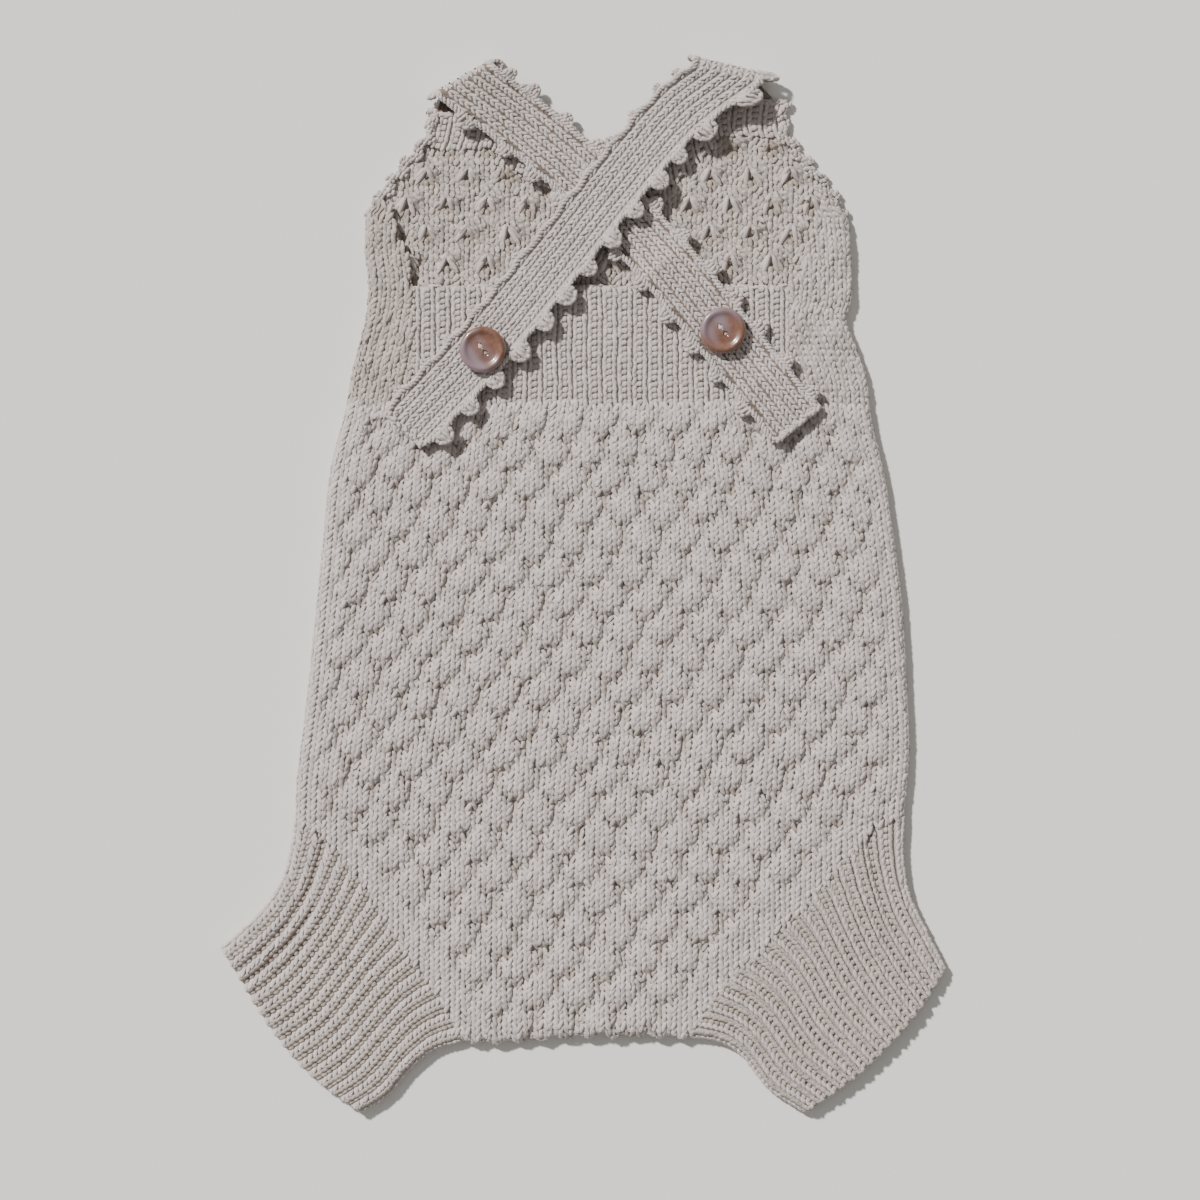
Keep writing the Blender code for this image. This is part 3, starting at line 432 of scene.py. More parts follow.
@dataclass(frozen=True)
class BabyYarn:
    """Plied baby yarn of wool and cotton, spun soft and dyed a light greige: matt, with a fuzz
    that catches the light, and with painted shade: each piece's depth in the cloth browns its colour
    towards a deep brown, in creases, pits, holes and under other stitches. Its fibres, 0.02 mm thick,
    are too fine to show, so their pattern is drawn as coarse as fibre_size."""

    # The yarn's own colour, light, and the browns of its painted shade, middle and deep.
    light: str = "C5BBB7"
    middle: str = "9C8D81"
    deep: str = "3E2C20"
    ply_turns: float = 2.4
    ply_depth: float = 0.07
    fibre_size: float = 0.45
    fibre_depth: float = 0.06
    stitch_depth: float = 0.5
    stitch_slant: float = -1.9
    # Shade painted in the small holes between the cloth's stitches: the level in each row where they lie, and
    # how deep.
    hole_shade_level: float = 0.65
    hole_shade_depth: float = 0.12
    unevenness: float = 0.12

    def dress(self, shader: bpy.types.Node, height: bpy.types.Node, relief: float, fuzz: float,
              hole_shade: bpy.types.Node | None = None) -> None:
        """Give a shader the yarn's colour, with painted shade by each piece's depth and its own tone, and its
        relief.

        Args:
            shader: the shader.
            height: gives the relief of plies or stitches.
            relief: its depth in millimetres.
            fuzz: the depth of the fine fibres that stand off the yarn.
            hole_shade: gives 1 in the small holes between stitches, where shade is painted, if the cloth has
                them.
        """
        add = partial(add_node, shader.id_data)
        deep = add("ShaderNodeAttribute", attribute_name="depth").outputs["Fac"]
        tone = add("ShaderNodeAttribute", attribute_name="tone").outputs["Fac"]
        if hole_shade is not None:
            # Painted shade in the small holes between the cloth's stitches.
            deep = add(MATH, (hole_shade, self.hole_shade_depth, deep), operation="MULTIPLY_ADD")
        # Painted shade: a depth of 0 keeps the yarn's light colour, and 1 gives the deep brown.
        ramp = add("ShaderNodeValToRGB", {"Fac": deep})
        stops = ramp.color_ramp.elements
        stops[0].color = linear(self.light)
        stops[1].color = linear(self.deep)
        stops.new(0.5).color = linear(self.middle)
        value = add(MATH, (tone, self.unevenness, 1.0), operation="MULTIPLY_ADD")
        colour = add("ShaderNodeHueSaturation", {"Value": value, "Color": ramp})
        where = add("ShaderNodeTexCoord").outputs["Object"]
        noise = add("ShaderNodeTexNoise", {
            "Vector": where, "Scale": 1 / (self.fibre_size * MM), "Detail": 2.0})
        fibres = add("ShaderNodeBump", {"Height": noise, "Distance": fuzz * MM, "Strength": 1.0})
        normal = add("ShaderNodeBump", {
            "Height": height, "Distance": relief * MM, "Strength": 1.0, "Normal": fibres})
        feed(shader, {"Base Color": colour, "Normal": normal, "Roughness": 0.88, "Specular IOR Level": 0.25,
                      "Sheen Weight": 0.25, "Sheen Roughness": 0.55})

    def strand_material(self) -> bpy.types.Material:
        """The yarn of the stitches, with its plies wound round each length.

        Returns:
            The material.
        """
        made, tree, shader = new_material("plied_baby_yarn")
        add = partial(add_node, tree)
        here = add("ShaderNodeAttribute", attribute_name="along").outputs["Fac"]
        turned = add("ShaderNodeAttribute", attribute_name="round").outputs["Vector"]
        axes = add("ShaderNodeSeparateXYZ", (turned,)).outputs
        angle = add(MATH, (here, self.ply_turns * 2 * math.pi), operation="MULTIPLY")
        sine = add(MATH, (angle,), operation="SINE")
        cosine = add(MATH, (angle,), operation="COSINE")
        first = add(MATH, (sine, axes["X"]), operation="MULTIPLY")
        plies = add(MATH, (cosine, axes["Y"], first), operation="MULTIPLY_ADD")
        self.dress(shader, plies, self.ply_depth, self.fibre_depth)
        return made

    def cloth_material(self) -> bpy.types.Material:
        """The cloth under and behind the stitches, knitted in plain stitches by its own UV map.

        Returns:
            The material.
        """
        made, tree, shader = new_material("knitted_cloth")
        add = partial(add_node, tree)
        grid = add("ShaderNodeUVMap", uv_map="stitches")
        axes = add("ShaderNodeSeparateXYZ", (grid,)).outputs
        column = add(MATH, (axes["X"],), operation="FRACT")
        middle = add(MATH, (column, 0.5), operation="SUBTRACT")
        arms = add(MATH, (middle,), operation="ABSOLUTE")
        slant = add(MATH, (arms, self.stitch_slant, axes["Y"]), operation="MULTIPLY_ADD")
        row_angle = add(MATH, (slant, 2 * math.pi), operation="MULTIPLY")
        rows = add(MATH, (row_angle,), operation="SINE")
        leg_angle = add(MATH, (axes["X"], 4 * math.pi), operation="MULTIPLY")
        legs = add(MATH, (leg_angle,), operation="COSINE")
        both = add(MATH, (rows, 0.5, legs), operation="MULTIPLY_ADD")
        height = add(MATH, (both, -0.5), operation="MULTIPLY")
        # The small hole above each stitch's point, where shade is painted.
        row = add(MATH, (axes["Y"],), operation="FRACT")
        above = add(MATH, (row, self.hole_shade_level), operation="SUBTRACT")
        nearby = add("ShaderNodeCombineXYZ", {"X": middle, "Y": above})
        away = add("ShaderNodeVectorMath", (nearby,), operation="LENGTH").outputs["Value"]
        hole_shade = add("ShaderNodeMapRange", {
            "Value": away, "From Min": 0.12, "From Max": 0.3, "To Min": 1.0, "To Max": 0.0})
        self.dress(shader, height, self.stitch_depth, self.fibre_depth * 2, hole_shade)
        return made


@dataclass(frozen=True)
class ShellButtonFinish:
    """River shell, turned and polished: pinkish brown, with pale growth bands, and a mauve sheen painted
    across one side.
    """

    brown: str = "6C4836"
    pink: str = "805C4E"
    painted_sheen_colour: str = "8A767E"
    band_size: float = 3.0

    def material(self) -> bpy.types.Material:
        """The polished shell.

        Returns:
            The material.
        """
        made, tree, shader = new_material("polished_river_shell")
        add = partial(add_node, tree)
        where = add("ShaderNodeTexCoord").outputs["Object"]
        noise = add("ShaderNodeTexNoise", {
            "Vector": where, "Scale": 1 / (self.band_size * MM), "Detail": 3.0, "Distortion": 1.2})
        ramp = add("ShaderNodeValToRGB", {"Fac": noise})
        for stop, place, colour in zip(ramp.color_ramp.elements, (0.32, 0.72), (self.brown, self.pink)):
            stop.position = place
            stop.color = linear(colour)
        # A mauve sheen painted across one side of the shell.
        sheen = add("ShaderNodeAttribute", attribute_name="pearl").outputs["Fac"]
        pearl = add("ShaderNodeMix", {0: sheen, 6: ramp, 7: linear(self.painted_sheen_colour)}, data_type="RGBA")
        feed(shader, {"Base Color": pearl.outputs[2], "Roughness": 0.3, "IOR": 1.53, "Coat Weight": 0.5,
                      "Coat Roughness": 0.08})
        return made


@dataclass(frozen=True)
class FloorFinish:
    """A plain pale board, painted matt."""

    colour: str = "F0EFEA"

    def material(self) -> bpy.types.Material:
        """The matt paint.

        Returns:
            The material.
        """
        made, _, shader = new_material("matt_white_board")
        feed(shader, {"Base Color": linear(self.colour), "Roughness": 0.9})
        return made


# --- strands of yarn ---

STRAND_SIDES = 5
STRAND_POINTS = 4


@dataclass
class Strands:
    """Short lengths of yarn, a row each, in millimetres. One value may be given for all of them.

    Attributes:
        start: where each begins.
        end: where each ends.
        up: the way that each arches.
        width: how wide each is.
        height: how thick each is, along up.
        depth: how deep in the cloth each lies, from 0 to 1, for its painted shade.
    """

    start: Array
    end: Array
    up: Array
    width: Array | float
    height: Array | float
    depth: Array | float

    def __post_init__(self) -> None:
        """Give every strand its own values."""
        count = len(self.start)
        self.up = np.zeros((count, 3)) + self.up
        self.width, self.height, self.depth = (
            np.zeros(count) + value for value in (self.width, self.height, self.depth))

    @classmethod
    def joined(cls, *parts: "Strands") -> "Strands":
        """All the strands of several sets."""
        return cls(*(np.concatenate(values) for values in zip(*map(astuple, parts))))

    def kept(self, chosen: Array) -> "Strands":
        """The strands that a mask keeps."""
        return Strands(*(values[chosen] for values in astuple(self)))

    def loosened(self, reach: float, seed: int) -> "Strands":
        """The same strands, each end moved a little and each width changed a little.

        Args:
            reach: how far an end moves, as a standard deviation.
            seed: the seed of the moves.

        Returns:
            The strands themselves.
        """
        chance = np.random.default_rng(seed)
        count = len(self.width)
        self.start, self.end = (
            ends + chance.normal(0, reach, (count, 3)) for ends in (self.start, self.end))
        self.width = self.width * chance.uniform(0.9, 1.1, count)
        return self

    def clear(self, eyelets: Sequence[Eyelet]) -> "Strands":
        """The strands that lie outside some eyelets."""
        middle = self.centre
        return self.kept(eyelet_depth(middle[:, 0], middle[:, 1], eyelets) < 0.6)

    @property
    def centre(self) -> Array:
        """The middle of each strand."""
        return (self.start + self.end) / 2


def strands_on(place: Place, start: tuple[Array, Array], end: tuple[Array, Array],
               width: Array | float, height: Array | float, depth: Array | float) -> Strands:
    """Lengths of yarn that lie on a cloth.

    Args:
        place: gives the cloth's point at a column and row.
        start: column and row where each strand begins.
        end: column and row where each ends.
        width: the strands' width, one or one each.
        height: their thickness.
        depth: how deep they lie in the cloth, 0 to 1, for their painted shade.

    Returns:
        The strands, arching along the cloth's normal.
    """
    nudge = 0.3
    middle = ((start[0] + end[0]) / 2, (start[1] + end[1]) / 2)
    across = place(middle[0] + nudge, middle[1]) - place(middle[0] - nudge, middle[1])
    onward = place(middle[0], middle[1] + nudge) - place(middle[0], middle[1] - nudge)
    up = np.cross(across, onward)
    up /= np.linalg.norm(up, axis=1)[:, None] + 1e-9
    return Strands(place(*start), place(*end), up, width, height, depth)


class StrandTree:
    """The Geometry Nodes tree that lays a length of yarn at each of a set of points."""

    def __init__(self) -> None:
        """Build the tree."""
        tree = bpy.data.node_groups.new("lengths_of_yarn", "GeometryNodeTree")
        self.tree = tree
        self.sockets: dict[str, str] = {}
        face = tree.interface
        face.new_socket("Geometry", in_out="OUTPUT", socket_type="NodeSocketGeometry")
        face.new_socket("Geometry", in_out="INPUT", socket_type="NodeSocketGeometry")
        for name, kind in (("Sides", "Int"), ("Points", "Int"), ("Arch", "Float"), ("Tip", "Float"),
                           ("Unevenness", "Float"), ("Seed", "Int"), ("Yarn", "Material")):
            socket = face.new_socket(name, in_out="INPUT", socket_type="NodeSocket" + kind)
            self.sockets[name] = socket.identifier
        add = partial(add_node, tree)
        given = add("NodeGroupInput").outputs
        lie, up, size = (add("GeometryNodeInputNamedAttribute", (label,), data_type="FLOAT_VECTOR")
                         for label in ("lie", "up", "size"))
        turned = add("FunctionNodeAxesToRotation", (lie, up), primary_axis="Y", secondary_axis="Z")
        laid = add("GeometryNodeInstanceOnPoints", {
            "Points": given["Geometry"], "Instance": self._length_of_yarn(given), "Rotation": turned,
            "Scale": size})
        swing = add(MATH, (given["Unevenness"], -1.0), operation="MULTIPLY")
        chance = add("FunctionNodeRandomValue", {
            0: swing, 1: given["Unevenness"], "Seed": given["Seed"]}, data_type="FLOAT_VECTOR")
        uneven = add("GeometryNodeRotateInstances", {"Instances": laid, "Rotation": chance})
        real = add("GeometryNodeRealizeInstances", (uneven,))
        shaded = add("GeometryNodeSetShadeSmooth", (real,))
        dressed = add("GeometryNodeSetMaterial", {0: shaded, "Material": given["Yarn"]})
        add("NodeGroupOutput", (dressed,))

    def _length_of_yarn(self, given: bpy.types.bpy_prop_collection) -> bpy.types.Node:
        """One length of yarn along Y, a unit long and wide, that arches up and thins to its tips.

        Args:
            given: the outputs of the tree's input node.

        Returns:
            The node that gives the mesh.
        """
        add = partial(add_node, self.tree)
        line = add("GeometryNodeCurvePrimitiveLine", {"Start": (0.0, -0.5, 0.0), "End": (0.0, 0.5, 0.0)})
        cut = add("GeometryNodeResampleCurve", {"Curve": line, "Count": given["Points"]})
        share = add("GeometryNodeSplineParameter")
        kept = add("GeometryNodeStoreNamedAttribute", {
            "Geometry": cut, "Name": "along", "Value": share}, data_type="FLOAT", domain="POINT")
        centred = add(MATH, (share, 2.0, -1.0), operation="MULTIPLY_ADD")
        square = add(MATH, (centred, centred), operation="MULTIPLY")
        drop = add(MATH, (square, given["Arch"]), operation="MULTIPLY")
        down = add(MATH, (drop, -1.0), operation="MULTIPLY")
        offset = add("ShaderNodeCombineXYZ", {"Z": down})
        arched = add("GeometryNodeSetPosition", {"Geometry": kept, "Offset": offset})
        thinner = add(MATH, (1.0, given["Tip"]), operation="SUBTRACT")
        loss = add(MATH, (square, thinner), operation="MULTIPLY")
        left = add(MATH, (1.0, loss), operation="SUBTRACT")
        radius = add(MATH, (left, 0.5), operation="MULTIPLY")
        thinned = add("GeometryNodeSetCurveRadius", {"Curve": arched, "Radius": radius})
        ring = add("GeometryNodeCurvePrimitiveCircle", {"Resolution": given["Sides"], "Radius": 1.0})
        spot = add("GeometryNodeInputPosition")
        ringed = add("GeometryNodeStoreNamedAttribute", {
            "Geometry": ring, "Name": "round", "Value": spot}, data_type="FLOAT_VECTOR", domain="POINT")
        spread = add("GeometryNodeInputRadius")
        return add("GeometryNodeCurveToMesh", {
            "Curve": thinned, "Profile Curve": ringed, "Fill Caps": True, "Scale": spread})

    def lay(self, name: str, strands: Strands, yarn: bpy.types.Material, arch: float = 0.45,
            tip: float = 0.5, seed: int = 7, unevenness: float = 0.07) -> bpy.types.Object:
        """Make one piece of a set of strands.

        Args:
            name: the piece's name.
            strands: the lengths of yarn.
            yarn: their material.
            arch: how far their ends dip, as a share of their thickness.
            tip: how thin their ends are, as a share of their middle.
            seed: the seed of their unevenness.
            unevenness: how far each may be turned, in radians.

        Returns:
            The piece, a plain mesh.
        """
        span = strands.end - strands.start
        reach = np.linalg.norm(span, axis=1)
        count = len(reach)
        points = bpy.data.meshes.new(name + "_points")
        points.from_pydata([tuple(spot) for spot in strands.centre * MM + SHIFT], [], [])
        # Each strand's depth carries its painted shade.
        for label, kind, values in (
            ("lie", "FLOAT_VECTOR", span / reach[:, None]),
            ("up", "FLOAT_VECTOR", strands.up),
            ("size", "FLOAT_VECTOR", np.stack([strands.width, reach, strands.height], axis=1) * MM),
            ("depth", "FLOAT", strands.depth),
            ("tone", "FLOAT", np.random.default_rng(seed).uniform(-1, 1, count)),
        ):
            attribute = points.attributes.new(label, kind, "POINT")
            key = "vector" if kind == "FLOAT_VECTOR" else "value"
            attribute.data.foreach_set(key, np.ascontiguousarray(values, dtype=np.float32).ravel())
        holder = placed(name, points)
        layer = holder.modifiers.new("yarn", "NODES")
        layer.node_group = self.tree
        for label, value in (("Sides", STRAND_SIDES), ("Points", STRAND_POINTS), ("Arch", arch), ("Tip", tip),
                             ("Seed", seed), ("Unevenness", unevenness), ("Yarn", yarn)):
            layer[self.sockets[label]] = value
        graph = bpy.context.evaluated_depsgraph_get()
        mesh = bpy.data.meshes.new_from_object(holder.evaluated_get(graph))
        mesh.name = name
        holder.modifiers.clear()
        holder.data = mesh
        for label in ("lie", "up", "size"):
            mesh.attributes.remove(mesh.attributes[label])
        bpy.data.meshes.remove(points)
        return holder


# --- shells ---

@dataclass
class Sheet:
    """A mesh of cloth before it is a piece: points in millimetres, faces, and what each point
    carries: its column and row in stitches, and its depth in the cloth, for its painted shade."""

    points: list[Sequence[float]] = field(default_factory=list)
    faces: list[tuple[int, ...]] = field(default_factory=list)
    grid: list[Sequence[float]] = field(default_factory=list)
    depth: list[float] = field(default_factory=list)

    def add(self, points: Sequence[Any], grid: Sequence[Any], depth: Sequence[float]) -> list[int]:
        """Add points.

        Args:
            points: where they are, a row each.
            grid: their columns and rows.
            depth: their depths in the cloth, for painted shade.

        Returns:
            Their numbers.
        """
        first = len(self.points)
        self.points.extend(points)
        self.grid.extend(grid)
        self.depth.extend(depth)
        return list(range(first, len(self.points)))

    def bridge(self, low: Sequence[int], high: Sequence[int]) -> None:
        """Join two closed rings of as many points with quads."""
        count = len(low)
        self.faces += [(low[k], low[(k + 1) % count], high[(k + 1) % count], high[k]) for k in range(count)]

    def piece(self, name: str, material: bpy.types.Material) -> bpy.types.Object:
        """Make the piece, its faces pointing out.

        Args:
            name: the piece's name.
            material: its cloth.

        Returns:
            The object, in the frame's place.
        """
        mesh = bpy.data.meshes.new(name)
        mesh.from_pydata([tuple(spot) for spot in np.array(self.points) * MM + SHIFT], [], self.faces)
        work = bmesh.new()
        work.from_mesh(mesh)
        bmesh.ops.recalc_face_normals(work, faces=work.faces)
        work.to_mesh(mesh)
        work.free()
        uv = mesh.uv_layers.new(name="stitches")
        corners = np.zeros(len(mesh.loops), np.int32)
        mesh.loops.foreach_get("vertex_index", corners)
        uv.data.foreach_set("uv", np.array(self.grid, np.float32)[corners].ravel())
        # Painted shade by the depth in the cloth, and no random tone.
        for label, values in (("depth", self.depth), ("tone", np.zeros(len(self.depth)))):
            attribute = mesh.attributes.new(label, "FLOAT", "POINT")
            attribute.data.foreach_set("value", np.array(values, np.float32))
        mesh.shade_smooth()
        mesh.materials.append(material)
        return placed(name, mesh)


def panel_sheet(loop: Array, radii: Array, shaped: Callable[[Array], Array], plain: float, lip: Array,
                inner: Array) -> Sheet:
    """A wall inside a closed outline, with its edge rounded over and one plain level side.

    Args:
        loop: the anticlockwise outline.
        radii: how far in the edge is rounded at each point.
        shaped: gives rows of height, column, row and depth, for painted shade, at places in plan.
        plain: the level of the other side.
        lip: the edge's height from plain at each point.
        inner: the shaped side's inner points in plan.

    Returns:
        The wall.
    """
    sheet = Sheet()
    inward = side_normals(np.vstack([loop[-1:], loop, loop[:1]]))[1:-1]
    inside = loop + inward * radii[:, None]
    looks = shaped(inside)
    rings = []
    for turn in (0.0, 0.25, 0.5, 0.75, 1.0):
        lean = 1 - math.cos(turn * math.pi / 2)
        rise = math.sin(turn * math.pi / 2)
        spots = loop + inward * (radii * lean)[:, None]
        heights = (plain + lip) + (looks[:, 0] - plain - lip) * rise
        rings.append(sheet.add(np.column_stack([spots, heights]), looks[:, 1:3], looks[:, 3]))
    for low, high in zip(rings, rings[1:]):
        sheet.bridge(low, high)
    every = np.ones(len(loop))
    under = sheet.add(np.column_stack([loop, plain * every]), looks[:, 1:3], UNDER_PANEL_SHADE * every)
    sheet.bridge(under, rings[0])
    sheet.faces.append(tuple(under[::-1]))

    ring = [sheet.points[index][:2] for index in rings[-1]]
    spots = ring + [tuple(spot) for spot in inner]
    edges = [(k, (k + 1) % len(ring)) for k in range(len(ring))]
    found, _, triangles, origin, _, _ = geometry.delaunay_2d_cdt(spots, edges, [], 1, 1e-6)
    looks = shaped(np.array([tuple(spot) for spot in found]))
    number = []
    for spot, sources, look in zip(found, origin, looks):
        if sources and sources[0] < len(ring):
            number.append(rings[-1][sources[0]])
        else:
            number += sheet.add([(*spot, look[0])], [look[1:3]], [look[3]])
    sheet.faces += [tuple(number[k] for k in triangle) for triangle in triangles]
    return sheet


def grid_sheet(upper: Array, lower: Array, grid: Array, depth: Array) -> Sheet:
    """A wall between two grids of points of the same shape.

    Args:
        upper: the shaped side's points, by row and column.
        lower: the other side's.
        grid: column and row in stitches of each point.
        depth: depth in the cloth, for painted shade, of each point of the shaped side.

    Returns:
        The wall.
    """
    rows, columns, _ = upper.shape
    sheet = Sheet()
    # The plain side gets at least its painted shade.
    for points, shade_depth in ((upper, depth), (lower, np.maximum(depth, UNDER_GRID_SHADE))):
        sheet.add(points.reshape(-1, 3), grid.reshape(-1, 2), shade_depth.ravel())
    low = list(range(columns))
    right = [row * columns + columns - 1 for row in range(1, rows)]
    high = [(rows - 1) * columns + column for column in range(columns - 2, -1, -1)]
    left = [row * columns for row in range(rows - 2, 0, -1)]
    rim = low + right + high + left
    for start in (0, rows * columns):
        for row in range(rows - 1):
            for column in range(columns - 1):
                first = start + row * columns + column
                sheet.faces.append((first, first + 1, first + columns + 1, first + columns))
    sheet.bridge(rim, [index + rows * columns for index in rim])
    return sheet


# --- the workshop ---

@dataclass
class Workshop:
    """What every piece is made with: the yarn's two materials, the button shell's material and the yarn's
    tree.
    """

    strand: bpy.types.Material
    cloth: bpy.types.Material
    shell: bpy.types.Material
    tree: StrandTree

    def finish(self, piece: bpy.types.Object, *nodes: str, slot: str = "knit_yarn") -> bpy.types.Object:
        """Let a piece ride on the garment's body, and report it.

        Args:
            piece: the piece.
            nodes: the nodes that it stands for.
            slot: not used.

        Returns:
            The piece.
        """
        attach(piece, "root")
        if nodes:
            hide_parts(*nodes)
        piece.data.calc_loop_triangles()
        LOG.info("%s: %d triangles", piece.name, len(piece.data.loop_triangles))
        return piece

    def knit(self, name: str, strands: Strands, **look: float) -> bpy.types.Object:
        """Lay strands as one piece and finish it."""
        return self.finish(self.tree.lay(name, strands, self.strand, **look))


def v_legs(place: Place, column: Array, row: Array, spread: float, width: float, height: float,
           depth: Array | float, lean: tuple[float, float] = (1.0, 1.0), foot: float = 0.06,
           tuck: float = 0.2) -> Strands:
    """The two legs of plain stitches, in cells of a column and a row.

    Args:
        place: the cloth.
        column: the middle of each cell's column.
        row: the foot of each cell.
        spread: how far each leg's top lies from the column's middle, in columns.
        width: the legs' width in millimetres.
        height: their thickness.
        depth: how deep each stitch lies, for its painted shade.
        lean: how much of the spread the left and the right leg have.
        foot: how far each leg's foot lies from the column's middle.
        tuck: how far each leg's foot stands over and its top under the middle line, in millimetres.

    Returns:
        The legs.
    """
    legs = []
    for side, share in zip((-1, 1), lean):
        middle = (foot + spread) / 2
        reach = (spread - foot) / 2 * share
        leg = strands_on(place, (column + side * (middle - reach), row + LEG_FOOT),
                         (column + side * (middle + reach), row + LEG_TOP), width, height, depth)
        leg.start += leg.up * tuck
        leg.end -= leg.up * tuck
        legs.append(leg)
    return Strands.joined(*legs)


# --- the body ---

@dataclass
class BodyBack:
    """The back of the body in bubble stitch: plain stitches with one in four pulled together
    over several rows, so that the cloth between swells like overlapping scales."""

    columns: int = 59
    first_row: int = -62
    shell_top_row: int = 46
    last_row: int = 53
    row_start: float = -34.4
    lattice_row: float = 11.4
    rows_each: int = 5
    share_start: float = 0.0935
    share_pitch: float = 0.0679
    sag: float = 0.00042
    sag_centre: float = 56.0
    ground: float = 3.4
    swell: float = 2.8
    crown: float = -0.4
    lower: float = 0.66
    upper: float = 1.4
    crease_width: float = 0.15
    plain_edge: float = 0.028
    plain_level: float = 0.58
    pit_side: float = 0.15
    pit_size: tuple[float, float] = (0.045, 0.13)
    pit_depth: float = 0.65
    crease_depth: float = 0.36
    opening: float = 0.17
    turn_level: float = 2.75
    leg_width: float = 2.2
    leg_height: float = 0.68
    scallop: float = 1.5
    scallop_reach: float = 1.4
    turn_radius: float = 3.0
    turn_limit: float = 1.9

    def outline(self, top: float, step: float) -> tuple[Array, Array]:
        """The body's outline up to a level.

        Args:
            top: the level.
            step: the size of its steps.

        Returns:
            The loop, and 1 for each point on a fold and 0 at a seam.
        """
        lift = SEAM_GAP / 2
        left, right = FOLDS[Side.LEFT], FOLDS[Side.RIGHT]
        stretches = (
            (CROTCH_FOLD, 1.0),
            (shifted(JOINS[Side.RIGHT][::-1], lift), 0.0),
            (right.between(right.low + lift, top), 1.0),
            (np.array([[right.x(top), top], [left.x(top), top]]), 0.0),
            (left.between(left.low + lift, top)[::-1], 1.0),
            (shifted(JOINS[Side.LEFT], lift), 0.0),
        )
        loop = []
        folded = []
        for curve, fold in stretches:
            part = stepped(curve, step)[:-1]
            loop.extend(part)
            folded.extend([fold] * len(part))
        return np.array(loop), np.array(folded)

    def lattice(self, column: Array, row: Array) -> tuple[Array, Array]:
        """Where stitches lie in the lattice of pulled stitches.

        Args:
            column: columns from the left fold.
            row: rows from the lattice's first.

        Returns:
            How many pulls across and how many rows of pulls up they lie.
        """
        across = (column / self.columns - self.share_start) / self.share_pitch
        up = row / self.rows_each
        return across + 0.09 * np.sin(up * 1.9 + across * 0.7), up + 0.09 * np.sin(across * 2.3 - up * 0.6)

    def bubbles(self, across: Array, up: Array) -> tuple[Array, Array]:
        """The bubbles at places in the lattice.

        Args:
            across: how many pulls across.
            up: how many rows of pulls up.

        Returns:
            How far they swell, 0 at the pulls and 1 on their crowns, and 1 in the crease between two.
        """
        best = np.zeros(np.broadcast(across, up).shape)
        second = best.copy()
        for pull, pull_up in nearest_pulls(across - 0.5, up):
            for beside in (-0.5, 0.5, 1.5):
                for above in (-2, 0, 2):
                    aside = np.abs(across - pull - beside) * 2
                    ahead = up - pull_up - above - self.crown
                    rise = smoothstep(ahead / 0.45)
                    ring = np.hypot(aside, np.abs(ahead) / np.where(ahead < 0, self.lower, self.upper))
                    dome = np.clip(1 - ring ** (3.4 - 1.9 * rise), 0, 1) ** (0.6 + 0.4 * rise)
                    second = np.maximum(second, np.minimum(best, dome))
                    best = np.maximum(best, dome)
        return best, bell((best - second) / self.crease_width)

    def pits(self, across: Array, up: Array) -> Array:
        """How far places in the lattice lie in the small holes beside each pull.

        Args:
            across: how many pulls across.
            up: how many rows of pulls up.

        Returns:
            0 outside the holes, and up to 1 in the strongest of them.
        """
        depths = []
        for pull, pull_up in nearest_pulls(across, up):
            for side in (-1, 1):
                strong = 0.1 + 0.6 * np.mod(np.sin(pull * 12.99 + pull_up * 78.23 + side) * 437.5, 1)
                strong = strong * (0.85 + 0.3 * side)
                aslant = across - pull - side * self.pit_side - (side + 1) * 0.09 * (up - pull_up)
                depths.append(strong * bell(aslant / self.pit_size[0])
                              * bell((up - pull_up + 0.02) / self.pit_size[1]))
        return np.max(depths, axis=0)

    def opened(self, column: Array, row: Array) -> Array:
        """Columns with the stitches beside each pull drawn apart.

        Args:
            column: columns from the left fold.
            row: rows from the lattice's first.

        Returns:
            The columns where those stitches lie.
        """
        across, up = self.lattice(column, row)
        moved = 0.0
        for pull, pull_up in nearest_pulls(across, up):
            away = across - pull
            near = bell((up - pull_up + 0.05) / (self.pit_size[1] * 1.3))
            outward = np.sign(away) * bell((np.abs(away) - 0.24) / 0.07)
            inward = -np.sign(away) * bell((np.abs(away) - 0.09) / 0.05)
            moved = moved + self.opening * near * (outward + inward * 0.6)
        return column + moved * smoothstep(np.minimum(column, self.columns - column) / 4 - 0.6)

    def shown(self, x: Array, y: Array, column: Array) -> Array:
        """How far the bubbles show.

        Args:
            x: places in plan.
            y: their y.
            column: their columns.

        Returns:
            1 in the middle and 0 on the plain stitches by the sides and the cuffs.
        """
        share = column / self.columns
        aside = smoothstep(np.minimum(share, 1 - share) / self.plain_edge - 0.5)
        left, right = (np.interp(y, *JOINS[side][::-1, ::-1].T) for side in (Side.LEFT, Side.RIGHT))
        by_cuffs = smoothstep((np.minimum(x - left, right - x) - 3) / 16)
        below_rib = smoothstep((RIB_BOTTOM - 1 - y) / 5)
        return aside * below_rib * np.where(y < FOLDS[Side.LEFT].low, by_cuffs, 1.0)

    def height(self, x: Array, y: Array, column: Array, row: Array) -> Array:
        """Height of the stitches' middle line.

        Args:
            x: places in plan.
            y: their y.
            column: their columns.
            row: their rows.

        Returns:
            The heights in millimetres.
        """
        across, up = self.lattice(column, row)
        shown = self.shown(x, y, column)
        bubble, crease = self.bubbles(across, up)
        swelling = self.plain_level + (bubble - self.plain_level) * shown
        sunk = (self.crease_depth * crease + self.pit_depth * self.pits(across, up)) * shown
        return self.ground + self.swell * swelling - sunk + 0.35 * wander(x, y)

    def sides(self, level: Array) -> list[Array]:
        """Where rows that lie at a level in the middle meet the left and the right fold.

        Args:
            level: the rows' levels.

        Returns:
            The x of the left and of the right ends.
        """
        found = []
        for fold in FOLDS.values():
            sagged = level - self.sag * (fold.x(level) - self.sag_centre) ** 2
            found.append(fold.x(np.maximum(sagged, fold.low)))
        return found

